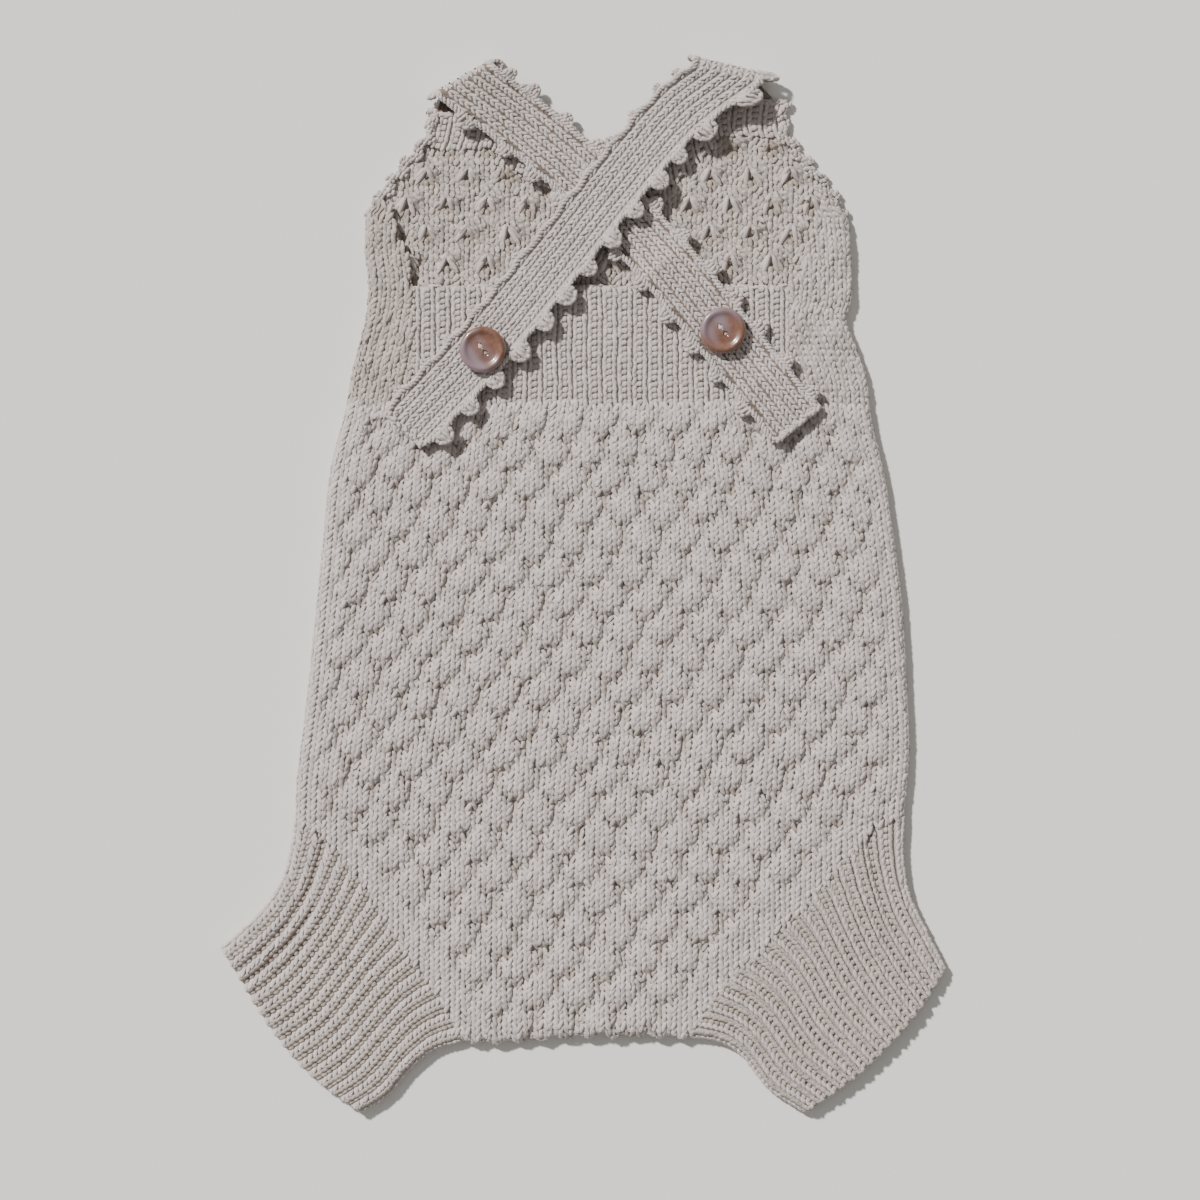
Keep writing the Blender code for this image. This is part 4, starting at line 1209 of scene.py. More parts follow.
    def place(self, column: Array, row: Array) -> Array:
        """Points of the cloth, turned under at the sides.

        Args:
            column: columns from the left fold.
            row: rows from the lattice's first.

        Returns:
            The points.
        """
        level = self.row_start + self.lattice_row * row / self.rows_each
        left, right = self.sides(level)
        pitch = (right - left) / self.columns
        flat = np.clip(self.opened(column, row), 1, self.columns - 1)
        x = left + flat * pitch
        y = level - self.sag * (x - self.sag_centre) ** 2
        z = self.height(x, y, np.clip(column, 1, self.columns - 1), row)
        beyond = np.maximum(1 - column, column - (self.columns - 1))
        turn = np.clip(beyond, 0, TURN_COLUMNS) * TURN_EACH
        outward = np.where(column < self.columns / 2, -1.0, 1.0)
        x = x + outward * pitch * np.sin(turn)
        z = self.turn_level + (z - self.turn_level) * np.cos(turn)
        return np.stack([x, y, z], axis=-1)

    def look(self, spots: Array) -> Array:
        """The shell under the stitches.

        Args:
            spots: places in plan.

        Returns:
            Rows of height, column, row and depth.
        """
        x, y = spots.T
        level = y + self.sag * (x - self.sag_centre) ** 2
        left, right = self.sides(level)
        column = (x - left) / (right - left) * self.columns
        row = (level - self.row_start) / self.lattice_row * self.rows_each
        around = ((0, 0), (-0.45, 0), (0.45, 0), (0, -0.7), (0, 0.7))
        lowest = np.min([self.height(x, y, column + aside, row + ahead) for aside, ahead in around], axis=0)
        pits = self.pits(*self.lattice(column, row)) * self.shown(x, y, column)
        # Painted shade: a little more away from the folds, and much more in the pits beside the pulls.
        inward = smoothstep(np.minimum(column, self.columns - column) / 2 - 0.5)
        depth = np.clip(0.02 + 0.02 * inward + 0.4 * pits, 0, 1)
        height = np.maximum(lowest - 0.45 - 0.7 * pits, UNDER_BACK + THINNEST)
        return np.stack([height, column, row, depth], axis=1)

    def turn_under(self, legs: Strands) -> None:
        """Bend the stitches at the crotch round its fold, in small scallops.

        Args:
            legs: the stitches, which are changed.
        """
        def beyond(spots: Array) -> Array:
            """How far above the fold spots lie."""
            return spots[:, 1] - np.interp(spots[:, 0], *CROTCH_FOLD.T)

        def bend(away: Array) -> Array:
            """The angle that a place has turned through, by how far from the fold it lies."""
            return np.clip(1 - away / self.turn_radius, 0, self.turn_limit)

        angle = bend(beyond(legs.centre))[:, None]
        legs.up = legs.up * np.cos(angle) - np.sin(angle) * (0, 1, 0)
        for ends in (legs.start, legs.end):
            away = beyond(ends)
            angle = bend(away)
            bent = np.where(angle > 0, self.turn_radius * (1 - np.sin(angle)), away)
            wave = 0.5 + 0.5 * np.sin(ends[:, 0] / self.scallop_reach)
            ends[:, 1] += bent - away - self.scallop * wave * np.clip(1 - bent / 6, 0, 1)
            ends[:, 2] = self.turn_level + (ends[:, 2] - self.turn_level) * np.cos(angle)

    def build(self, kit: Workshop) -> None:
        """Make the back's shell and stitches.

        Args:
            kit: the workshop.
        """
        top = RIB_BOTTOM - SEAM_GAP
        loop, folded = self.outline(top, 2.4)
        blended = folded
        for _ in range(3):
            blended = (np.roll(blended, 1) + blended + np.roll(blended, -1)) / 3
        radii = 0.6 + 3.0 * blended
        stitches = cells(np.arange(0.5, self.columns), np.arange(self.first_row, self.shell_top_row))
        spots = self.place(*stitches)[:, :2]
        inner = spots[depth_inside(loop, spots) > radii.max() + 0.8]
        shell = panel_sheet(loop, radii, self.look, UNDER_BACK, 1.2 - 0.4 * folded, inner)
        shell = kit.finish(shell.piece("back_cloth", kit.cloth), "body_back")

        column, row = cells(np.arange(-0.5, self.columns + 1), np.arange(self.first_row, self.last_row))
        across, up = self.lattice(column, row + 0.5)
        x, y, _ = self.place(column, row + 0.5).T
        bubble, crease = self.bubbles(across, up)
        # Painted shade on the stitches: off the bubbles' crowns, in the creases between bubbles and in the
        # pits.
        deep = 0.1 * (1 - bubble) + 0.16 * crease + 0.3 * self.pits(across, up)
        deep = np.clip(deep * self.shown(x, y, column), 0, 1)
        legs = v_legs(self.place, column, row, 0.40, self.leg_width, self.leg_height, deep, foot=0.09,
                      tuck=0.12)
        x, y, _ = legs.centre.T
        at_fold = (y > FOLDS[Side.LEFT].low + 2) & (y < top - 0.6)
        from_crotch = y - np.interp(x, *CROTCH_FOLD.T)
        at_crotch = (np.abs(x + 3) < 41) & (from_crotch < 3) & (from_crotch > -2.6)
        legs = legs.kept((depth_inside(loop, legs.centre[:, :2]) > -0.9) | at_fold | at_crotch)
        self.turn_under(legs)
        level = legs.centre[:, 1]
        for name, low, high in (("lower", -300, -72), ("middle", -72, -1), ("upper", -1, 300)):
            chosen = legs.kept((level >= low) & (level < high)).loosened(0.09, 17)
            kit.knit("back_stitches_" + name, chosen, arch=0.32, tip=0.6, unevenness=0.1)


@dataclass
class BodyFront:
    """The front of the body, which lies under the back, its stitches pressed flat."""

    back: BodyBack

    def look(self, spots: Array) -> Array:
        """Height, column, row and depth of the front's outer side, at places in plan, with an even painted
        shade.
        """
        return self.back.look(spots) * (0, 1, 1, 0) + (0, 0, 0, 0.1)

    def build(self, kit: Workshop) -> None:
        """Make the front's shell.

        Args:
            kit: the workshop.
        """
        loop, folded = self.back.outline(RIB_TOP - SEAM_GAP, 3.2)
        radii = 0.6 + 2.9 * folded
        lip = np.where(folded > 0, -0.8, SEAM_GAP - WALL)
        spots = np.stack(cells(np.arange(-120, 126, 9), np.arange(-172, 112, 9)), axis=1)
        inner = spots[depth_inside(loop, spots) > 5]
        shell = panel_sheet(loop, radii, self.look, WALL, lip, inner).piece("front_cloth", kit.cloth)
        kit.finish(shell, "body_front")


# --- ribbed pieces ---

class Rib(NamedTuple):
    """Sizes of one by one rib, in shares of one knit and one purl column, and in millimetres."""

    knit_width: float
    trough: float
    relief: float
    leg_width: float
    purl_width: float
    purl_thickness: float


class Crease(NamedTuple):
    """A crease along the ribs: which rib it follows, how deep it is in millimetres, and the share
    of the rows where it starts."""

    rib: float
    depth: float
    start: float


SOFT_RIB = Rib(0.76, 0.28, 0.35, 2.0, 0.32, 2.7)
CUFF_RIB = Rib(0.86, 0.29, 1.05, 2.1, 0.26, 2.9)
CUFF_RIBS = 16
CUFF_ROWS = 26
CUFF_WIDTH = 60.0
CUFF_CREASES = (Crease(2.0, 1.5, -0.3), Crease(3.0, 1.7, 0.3), Crease(4.0, 0.7, 0.3))


@dataclass
class RibbedCloth:
    """Cloth of ribs that follow a patch between four curves."""

    start: Array
    end: Array
    first: Array
    last: Array
    ribs: int
    rows: int
    base: float
    rib: Rib
    under: float = UNDER_BACK
    folded: bool = False
    lean: tuple[float, float] = (1.0, 1.0)
    # Painted shade on each stitch's left and right leg.
    shades: tuple[float, float] = (0.02, 0.02)
    outer_first: bool = True
    lumps: float = 0.012
    creases: Sequence[Crease] = ()

    def plan(self, column: Array, row: Array) -> Array:
        """Places in plan.

        Args:
            column: how many ribs across.
            row: how many rows on.

        Returns:
            The places.
        """
        reach = row / self.rows
        bulge = np.cos(2 * math.pi * (column - 0.5)) * smoothstep((reach - 0.8) / 0.2)
        across = np.clip(column / self.ribs, 0, 1)
        onward = np.clip(reach, 0, 1)
        u = np.asarray(across)[..., None]
        v = np.asarray(reach + self.lumps * bulge)[..., None]
        corners = ((1 - u) * (1 - v) * self.start[0] + u * (1 - v) * self.start[-1]
                   + (1 - u) * v * self.end[0] + u * v * self.end[-1])
        uneven = np.sin(math.pi * u) * wander(column * 8, row * 6, 3.0)[..., None]
        return ((1 - v) * spaced(self.start, across) + v * spaced(self.end, across)
                + (1 - u) * spaced(self.first, onward) + u * spaced(self.last, onward) - corners
                + 0.5 * uneven * (1.0, 0.0))

    def firm(self, column: Array) -> Array:
        """How firmly the ribs stand.

        Args:
            column: how many ribs across.

        Returns:
            1, and less beside a fold, where they are stretched smooth.
        """
        if not self.folded:
            return np.ones(np.shape(column))
        beside = column if self.outer_first else self.ribs - column
        return 0.35 + 0.65 * smoothstep(beside / 2.6 - 0.2)

    def relief(self, column: Array) -> Array:
        """Height of the ribs, 0 in the purl columns and 1 on the knit ones."""
        away = np.abs(np.mod(column, 1) - 0.5)
        return 1 - smoothstep((away - self.rib.trough) / 0.18)

    def place(self, column: Array, row: Array) -> Array:
        """Points of the stitches' middle line.

        Args:
            column: how many ribs across.
            row: how many rows on.

        Returns:
            The points.
        """
        plan = self.plan(column, row)
        z = self.base + self.rib.relief * self.relief(column) * self.firm(column)
        z = z + 0.25 * wander(plan[..., 0], plan[..., 1], 2.0)
        for crease in self.creases:
            z = z - (crease.depth * bell((column - crease.rib) / 0.22)
                     * smoothstep((row / self.rows - crease.start) / 0.3))
        if self.folded:
            first = 0.0 * column
            width = np.linalg.norm(self.plan(first + self.ribs, row) - self.plan(first, row), axis=-1)
            near = np.minimum(column, self.ribs - column) / self.ribs * width
            z = FOLD_EDGE + (z - FOLD_EDGE) * rounded(near)
        return np.concatenate([plan, z[..., None]], axis=-1)

    def laid(self, column: Array, row: Array) -> Array:
        """Points of the middle line with the rows counted the way that they were knitted."""
        return self.place(column, self.rows - row if self.folded else row)

    def shell(self) -> Sheet:
        """The wall under the stitches.

        Returns:
            Its mesh.
        """
        shares = np.array([0.0, 0.04, 0.15, 0.27, 0.38, 0.5, 0.62, 0.73, 0.85, 0.96])
        column = np.append((np.arange(self.ribs)[:, None] + shares).ravel(), self.ribs)
        column, row = np.meshgrid(column, np.linspace(0, self.rows, max(3, self.rows // 2)))
        upper = self.place(column, row)
        upper[..., 2] = np.maximum(upper[..., 2] - 0.4, self.under + THINNEST)
        lower = upper.copy()
        lower[..., 2] = self.under
        # Painted shade: more on a folded cuff, and more in the troughs than on the knit ribs.
        depth = (0.3 if self.folded else 0.2) - 0.14 * self.relief(column)
        return grid_sheet(upper, lower, np.stack([column * 2, row], axis=-1), depth)

    def strands(self) -> Strands:
        """The ribs' legs and the purl bumps between them.

        Returns:
            The strands.
        """
        rib = self.rib
        rows = np.arange(self.rows) - 0.3
        legs = v_legs(self.laid, *cells(np.arange(self.ribs) + 0.5, rows), rib.knit_width * 0.42,
                      rib.leg_width, 0.98, 0.02, self.lean, rib.knit_width * 0.13)
        # Each leg gets the painted shade of its side.
        legs.depth = np.repeat(self.shades, len(legs.depth) // 2)
        first = 1 if self.folded else 0
        column, row = cells(np.arange(first, self.ribs + 1 - first), np.arange(self.rows))
        half = rib.purl_width / 2
        # Painted shade on the purl bumps between the ribs, more where the ribs stand firm.
        depth = 0.06 + 0.26 * self.firm(column) if self.folded else 0.14
        bumps = strands_on(self.place, (column - half, row + 0.4), (column + half, row + 0.6),
                           rib.purl_thickness, 0.95, depth)
        for ends in (bumps.start, bumps.end):
            ends[:, 2] += 0.05 if self.folded else 0.25
        parts = [legs, bumps]
        if self.folded:
            for column in (0.0, float(self.ribs)):
                parts.append(v_legs(self.laid, column + 0 * rows, rows, 0.06, 1.9, 1.7, 0.0, foot=0.0))
        return Strands.joined(*parts)

    def cast_off(self, row: float, out: float, level: float) -> Strands:
        """The chain that ends the knitting, over each knit and each purl column.

        Args:
            row: the row that it lies on.
            out: how many rows further its outer side lies.
            level: how far over the stitches it lies, in millimetres.

        Returns:
            Its strands.
        """
        column = np.arange(0, self.ribs - 0.2, 0.5)
        width, height, depth = 1.7, 1.6, 0.04
        chain = Strands.joined(*(
            strands_on(self.place, (column + 0.02, row + near), (column + 0.5, row + far * 0.7),
                       width, height, depth) for near, far in ((0.0, out), (out, 0.0))))
        for ends in (chain.start, chain.end):
            ends[:, 2] += level
        return chain

    def make(self, kit: Workshop, name: str, node: str, chain: Strands, reach: float, seed: int,
             **look: float) -> tuple[bpy.types.Object, bpy.types.Object]:
        """Make the cloth's shell and its stitches.

        Args:
            kit: the workshop.
            name: what both pieces' names start with.
            node: the node that the shell stands for.
            chain: the strands that end the knitting.
            reach: how far the strands' ends are moved about.
            seed: the seed of those moves.
            look: the strands' arch, tip and unevenness.

        Returns:
            The shell and the stitches.
        """
        shell = kit.finish(self.shell().piece(name + "_cloth", kit.cloth), node)
        strands = Strands.joined(self.strands(), chain)
        strands.up *= np.sign(strands.up[:, 2:])
        return shell, kit.knit(name + "_stitches", strands.loosened(reach, seed), **look)


def cuff_cloth(side: Side, upper: bool) -> RibbedCloth:
    """One half of a leg cuff.

    Args:
        side: the side that it lies on.
        upper: whether it is the half that lies on top.

    Returns:
        Its ribs, from the seam to the hem.
    """
    outer, edge, inner = map(smooth, CUFFS[side])
    seam = shifted(JOINS[side], side.value * SEAM_GAP / 2)
    first = np.vstack([seam[:1], outer[1:]])
    last = np.vstack([seam[-1:], inner[1:]])
    creases = CUFF_CREASES if upper else ()
    lumps, shades, lean = 0.016, (0.02, 0.24), (1.6, 0.7)
    if side is Side.RIGHT:
        seam, edge, first, last = seam[::-1], edge[::-1], last, first
        creases = [Crease(CUFF_RIBS - crease.rib, crease.depth * 0.5, crease.start) for crease in creases]
        lumps, shades, lean = 0.003, (0.2, 0.04), (0.5, 0.7)
    base = UNDER_BACK + 1.25 if upper else 1.0
    return RibbedCloth(seam, edge, first, last, CUFF_RIBS, CUFF_ROWS, base, CUFF_RIB, folded=True,
                       creases=creases, outer_first=side is Side.LEFT, lumps=lumps, shades=shades, lean=lean)


@dataclass
class Cuff:
    """A ribbed leg cuff, laid flat in two halves."""

    side: Side

    def build(self, kit: Workshop) -> None:
        """Make both halves.

        Args:
            kit: the workshop.
        """
        name = "cuff_" + self.side.name.lower()
        upper = cuff_cloth(self.side, True)
        chain = upper.cast_off(CUFF_ROWS - 0.4, 0.9, -0.3)
        shell, stitches = upper.make(kit, name + "_back", name + "_back", chain, 0.1, 23, arch=0.35, tip=0.6)
        lower = cuff_cloth(self.side, False)
        column, row = np.meshgrid(np.linspace(0, CUFF_RIBS, 65), np.linspace(0, lower.rows, 12))
        top = lower.place(column, row)
        top[..., 2] = WALL
        bottom = top.copy()
        near = np.minimum(column, CUFF_RIBS - column) / CUFF_RIBS * CUFF_WIDTH
        bottom[..., 2] = (WALL - 0.8) * (1 - rounded(near))
        # The lower half, under the upper one, gets an even painted shade.
        front = grid_sheet(top, bottom, np.stack([column * 2, row], axis=-1), np.full(column.shape, 0.3))
        front = kit.finish(front.piece(name + "_front_cloth", kit.cloth), name + "_front")


@dataclass
class BackRib:
    """The ribbed band across the top of the back."""

    ribs: int = 25
    rows: int = 20

    def build(self, kit: Workshop) -> None:
        """Make the band.

        Args:
            kit: the workshop.
        """
        left = RIB_LEFT + SEAM_GAP / 2
        right = RIB_RIGHT - SEAM_GAP / 2
        foot, top = (np.array([(left, y), (right, y)]) for y in (RIB_BOTTOM, RIB_TOP))
        first, last = (np.array([(x, RIB_BOTTOM), (x, RIB_TOP)]) for x in (left, right))
        cloth = RibbedCloth(foot, top, first, last, self.ribs, self.rows, UNDER_BACK + 1.15, SOFT_RIB,
                            lean=(0.8, 0.4))
        chain = cloth.cast_off(19.7, 0.5, -0.9).loosened(0.45, 53)
        shell, stitches = cloth.make(kit, "back_rib", "back_rib", chain, 0.13, 29, arch=0.35, tip=0.65,
                                     unevenness=0.1)


# --- side strips ---

@dataclass
class SideStrip:
    """A plain strip of the front that turns round the side and lies beside the rib."""

    side: Side
    columns: int = 9
    rows: int = 35
    pitch: float = 3.3
    row: float = 2.28
    level: float = UNDER_BACK + 1.75
    turn_level: float = 2.7
    lumps: float = 1.1

    def inner(self, y: Array) -> Array:
        """The strip's inner edge at given levels."""
        return np.interp(y, *zip(*STRIPS[self.side]))

    def outer(self, y: Array) -> Array:
        """The strip's outer fold, closing towards its tip.

        Args:
            y: levels.

        Returns:
            The fold's x at them.
        """
        fold = FOLDS[self.side]
        tip, _ = STRIPS[self.side][-1]
        x = fold.x(np.minimum(y, fold.high))
        closing = smoothstep((y - fold.high) / (tip - fold.high))
        return x + (self.inner(y) + self.side.value * 4.0 - x) * closing

    def place(self, column: Array, row: Array) -> Array:
        """Points of the strip.

        Args:
            column: columns inwards from its fold.
            row: rows up from its foot.

        Returns:
            The points.
        """
        y = RIB_BOTTOM + self.row * row
        outward = self.side.value
        x = self.outer(y) - outward * np.maximum(column, 1) * self.pitch
        z = self.level + self.lumps * wander(x * 8, y * 6, 4.0) - 1.3 * eyelet_depth(x, y, EYELETS)
        turn = np.clip(1 - column, 0, TURN_COLUMNS) * TURN_EACH
        x = x + outward * self.pitch * np.sin(turn)
        z = self.turn_level + (z - self.turn_level) * np.cos(turn)
        return np.stack([x, y + 0 * x, z], axis=-1)

    def build(self, kit: Workshop) -> None:
        """Make the strip.

        Args:
            kit: the workshop.
        """
        name = "side_wrap_" + self.side.name.lower()
        outward = self.side.value
        tip, _ = STRIPS[self.side][-1]
        levels = np.linspace(RIB_BOTTOM, tip, 32)
        outer = self.outer(levels)[:, None]
        inner = self.inner(levels)[:, None] + outward * SEAM_GAP / 2
        x = outer + (inner - outer) * np.array([0.0, 0.02, 0.06, 0.12, 0.3, 0.5, 0.7, 0.9, 1.0])
        from_fold = np.abs(x - outer)
        height = FOLD_EDGE + (self.level - 0.75 - FOLD_EDGE) * rounded(from_fold)
        upper = np.dstack([x, levels[:, None] + 0 * x, height])
        lower = upper.copy()
        lower[..., 2] = UNDER_BACK
        grid = np.dstack([from_fold / self.pitch, (upper[..., 1] - RIB_BOTTOM) / self.row])
        # The strip's shell gets an even painted shade.
        shell = grid_sheet(upper, lower, grid, np.full(x.shape, 0.35)).piece(name + "_cloth", kit.cloth)
        kit.finish(shell, name)
        # Painted shade on the stitches, more on the left strip.
        shade_depth = 0.2 if self.side is Side.LEFT else 0.08
        stitches = cells(np.arange(-0.5, self.columns), np.arange(self.rows))
        legs = v_legs(self.place, *stitches, 0.38, 2.1, 0.8, shade_depth, tuck=0.12)
        legs.up *= -outward
        x, y, _ = legs.centre.T
        legs = legs.kept(((x - self.inner(y)) * outward > -0.5) & (y < tip - 1)).clear(EYELETS)
        stitches = kit.knit(name + "_stitches", legs.loosened(0.15, 47), unevenness=0.15)


# --- bib ---

def rolled_edge(edge: Array, inward: int, level: float) -> Strands:
    """The stitches of an edge that rolls in on itself in small scallops.

    Args:
        edge: the edge's curve.
        inward: 1 where the cloth lies to the right of travel, -1 where it lies to the left.
        level: the roll's height.

    Returns:
        Its strands, in three rows side by side.
    """
    reach = lengths(edge)[-1]
    here = np.arange(1.0, reach - 1.0, 1.7)
    chance = np.random.default_rng(61)
    parts = []
    outward = side_normals(edge)[np.searchsorted(lengths(edge), here)] * inward
    scallop = 1.2 * np.cos(2 * math.pi * here / 8.5)[:, None] * outward
    for row, lift in ((-0.5, -0.6), (0.7, 0.0), (2.0, -0.2)):
        out = shifted(edge, -inward * row)
        ends = []
        for slip in (-0.9, 1.1):
            uneven = chance.normal(0, 0.25, (len(here), 2))
            plan = along(out, np.clip(here + slip, 0, None)) + scallop + uneven
            ends.append(np.column_stack([plan, level + lift + chance.uniform(-0.2, 0.2, len(here))]))
        parts.append(Strands(*ends, UPWARD, 1.8, 1.6, 0.06))
    return Strands.joined(*parts)


@dataclass
class Bib:
    """The bib, seen from its wrong side between the straps, and the ribbed band at its neckline."""

    front: BodyBack
    pitch: float = 15.4
    lattice_row: float = 11.0
    start_x: float = -52.0
    start_y: float = 123.6
    rows_each: int = 5
    level: float = 3.9
    relief: float = 2.9
    band_ribs: int = 26
    band_rows: int = 6
    band_depth: float = 14.0
    band_left_foot: float = 0.76
    band_right_foot: float = 0.70

    def band_edges(self) -> tuple[Array, Array]:
        """The neckband's edges.

        Returns:
            The upper and the lower one, from left to right.
        """
        upper = smooth(NECKLINE)
        lower = shifted(upper, -self.band_depth)
        lower = lower[np.maximum.accumulate(lower[:, 0]) <= lower[:, 0]]
        left = spaced(smooth(BIB_LEFT_EDGE), [self.band_left_foot])
        right = spaced(smooth(BIB_RIGHT_EDGE), [self.band_right_foot])
        inner = lower[(lower[:, 0] > left[0, 0] + 6) & (lower[:, 0] < right[0, 0] - 6)][::12]
        return upper, smooth(np.vstack([left, inner, right]), 6)

    def near_pull(self, x: Array, y: Array, dy: float, size: tuple[float, float]) -> Array:
        """How near places are to a spot below their nearest pull.

        Args:
            x: places in plan.
            y: their y.
            dy: the spot's place above the pull.
            size: its reach across and up.

        Returns:
            1 on the spot and 0 away from it.
        """
        across = (x - 0.2 - self.start_x) / self.pitch
        up = (y - dy - self.start_y) / self.lattice_row
        return np.max([bell((across - pull) * self.pitch / size[0])
                       * bell((up - pull_up) * self.lattice_row / size[1])
                       for pull, pull_up in nearest_pulls(across, up)], axis=0)

    def height(self, x: Array, y: Array) -> Array:
        """Height of the purl side, where the bubbles are hollows and the pulls are peaks.

        Args:
            x: places in plan.
            y: their y.

        Returns:
            The height of its middle line.
        """
        across = (x - self.start_x) / self.pitch
        up = (y - self.start_y) / self.lattice_row
        hollow, _ = self.front.bubbles(across, up)
        pit = self.near_pull(x, y, -2.4, (1.7, 1.7))
        level = self.level - self.relief * hollow - 1.7 * pit + 0.6 * wander(x * 2.3, y * 2.3, 5.0)
        sunk = eyelet_depth(x, y, EYELETS)
        near_edge = smoothstep((RIB_TOP + 7 - y) / 6)
        return np.maximum(level - 0.3 * near_edge - 2.2 * sunk, 0.8)

    def place(self, column: Array, row: Array) -> Array:
        """Points of the cloth.

        Args:
            column: columns, four to a pull.
            row: rows, counted as the body's are.

        Returns:
            The points.
        """
        x = self.start_x + self.pitch / 4 * column
        y = self.start_y + self.lattice_row / self.rows_each * row
        x, y = np.broadcast_arrays(x, y)
        return np.stack([x, y, self.height(x, y)], axis=-1)

    def look(self, spots: Array) -> Array:
        """The shell under the stitches.

        Args:
            spots: places in plan.

        Returns:
            Rows of height, column, row and depth.
        """
        x, y = spots.T
        pit = np.maximum(self.near_pull(x, y, -2.6, (1.7, 1.9)), eyelet_depth(x, y, EYELETS))
        # Painted shade in the pits below each pull and in the eyelets.
        height = np.maximum(self.height(x, y) - 0.6, 0.35)
        return np.stack([height, (x - self.start_x) / self.pitch * 4,
                         (y - self.start_y) / self.lattice_row * self.rows_each, 0.12 + 0.36 * pit], axis=1)

    def build(self, kit: Workshop) -> None:
        """Make the bib and its band.

        Args:
            kit: the workshop.
        """
        upper, lower = self.band_edges()
        gap = SEAM_GAP / 2
        left = smooth(BIB_LEFT_EDGE)
        right = smooth(BIB_RIGHT_EDGE)
        left_low = left[left[:, 1] < lower[0, 1] - gap]
        right_low = right[right[:, 1] < lower[-1, 1] - gap]
        folds = FOLDS[Side.LEFT], FOLDS[Side.RIGHT]
        sides = (
            stepped(np.array([[folds[0].x(RIB_TOP), RIB_TOP], [folds[1].x(RIB_TOP), RIB_TOP]]), 4),
            stepped(folds[1].between(RIB_TOP, folds[1].high), 3),
            stepped(right_low, 2.5),
            stepped(shifted(lower, -gap)[::-1], 3),
            stepped(left_low, 2.5)[::-1],
            stepped(folds[0].between(RIB_TOP, folds[0].high)[::-1], 3),
        )
        loop = np.vstack([curve[:-1] for curve in sides])
        spots = np.stack(cells(np.arange(-90, 106, 1.9), np.arange(108, 176, 1.9)), axis=1)
        inner = spots[depth_inside(loop, spots) > 1.6]
        edge = np.full(len(loop), 0.7)
        shell = panel_sheet(loop, edge, self.look, 0.0, edge, inner).piece("bib_cloth", kit.cloth)
        kit.finish(shell, "bib")

        column, row = cells(np.arange(-9, 42, 0.5), np.arange(-6, 26))
        row = row + np.mod(column * 2, 2) * 0.5
        fan = np.mod(column / 4 - np.floor(row / self.rows_each + 0.6) / 2 + 0.5, 1) - 0.5
        lean = 0.35 * np.sin(2 * math.pi * fan) + np.random.default_rng(11).uniform(-0.2, 0.2, len(row))
        bumps = strands_on(self.place, (column + lean / 2, row), (column - lean / 2, row + 1.25), 2.6, 0.55,
                           0.05)
        x, y, z = bumps.centre.T
        pit = self.near_pull(x, y, -2.6, (2.5, 2.5))
        # Painted shade: more the lower a bump lies in the hollows, and much more in the pits.
        bumps.depth = 0.02 + 0.12 * np.clip((self.level - z) / self.relief, 0, 1) + 0.5 * pit
        inside = depth_inside(loop, bumps.centre[:, :2]) > 0.5
        bumps = bumps.kept(inside & (pit < 0.8)).clear(EYELETS).loosened(0.16, 43)
        strands = Strands.joined(bumps, self.tents(loop), rolled_edge(left, 1, 2.3),
                                 rolled_edge(right, -1, 2.3))
        stitches = kit.knit("bib_stitches", strands, arch=0.3, unevenness=0.2)
        self.build_band(kit, upper, lower, left, right)

    def tents(self, loop: Array) -> Strands:
        """The yarn drawn up to each pulled stitch, as two sloping bundles.

        Args:
            loop: the bib's outline.

        Returns:
            The strands.
        """
        pulls = np.array([(self.start_x + self.pitch * (across + 0.5 * (up % 2)),
                           self.start_y + self.lattice_row * up)
                          for up in range(-2, 6) for across in range(-4, 12)])
        pulls = pulls[depth_inside(loop, pulls) > 3.0]
        parts = []
        loose = np.random.default_rng(5).uniform(-0.9, 0.9, (len(pulls), 2))
        for dx, dy in ((-3.6, -3.2), (-2.9, -4.8), (3.0, -4.6), (3.8, -3.0)):
            foot = pulls + loose + (dx, dy)
            start = np.column_stack([foot, self.height(*foot.T) + 0.35])
            end = np.column_stack([pulls + (dx * 0.25, 0.9), self.height(*pulls.T) + 0.75])
            parts.append(Strands(start, end, UPWARD, 2.5, 0.8, 0.02))
        return Strands.joined(*parts)

    def build_band(self, kit: Workshop, upper: Array, lower: Array, left: Array, right: Array) -> None:
        """Make the neckband.

        Args:
            kit: the workshop.
            upper: the band's upper edge.
            lower: its lower edge.
            left: the bib's left edge, which its left side follows.
            right: the bib's right edge.
        """
        low_edge = shifted(lower, SEAM_GAP / 2)
        first = np.vstack([low_edge[:1], left[left[:, 1] > low_edge[0, 1]][1:-1], upper[:1]])
        last = np.vstack([low_edge[-1:], right[right[:, 1] > low_edge[-1, 1]][1:-1], upper[-1:]])
        cloth = RibbedCloth(low_edge, upper, first, last, self.band_ribs, self.band_rows, 1.25, SOFT_RIB,
                            under=0.0, lean=(0.4, 0.4))
        chain = cloth.cast_off(5.4, 0.8, 0.2)
        shell, stitches = cloth.make(kit, "neckband", "bib_band", chain, 0.12, 31, tip=0.65)


# --- straps ---

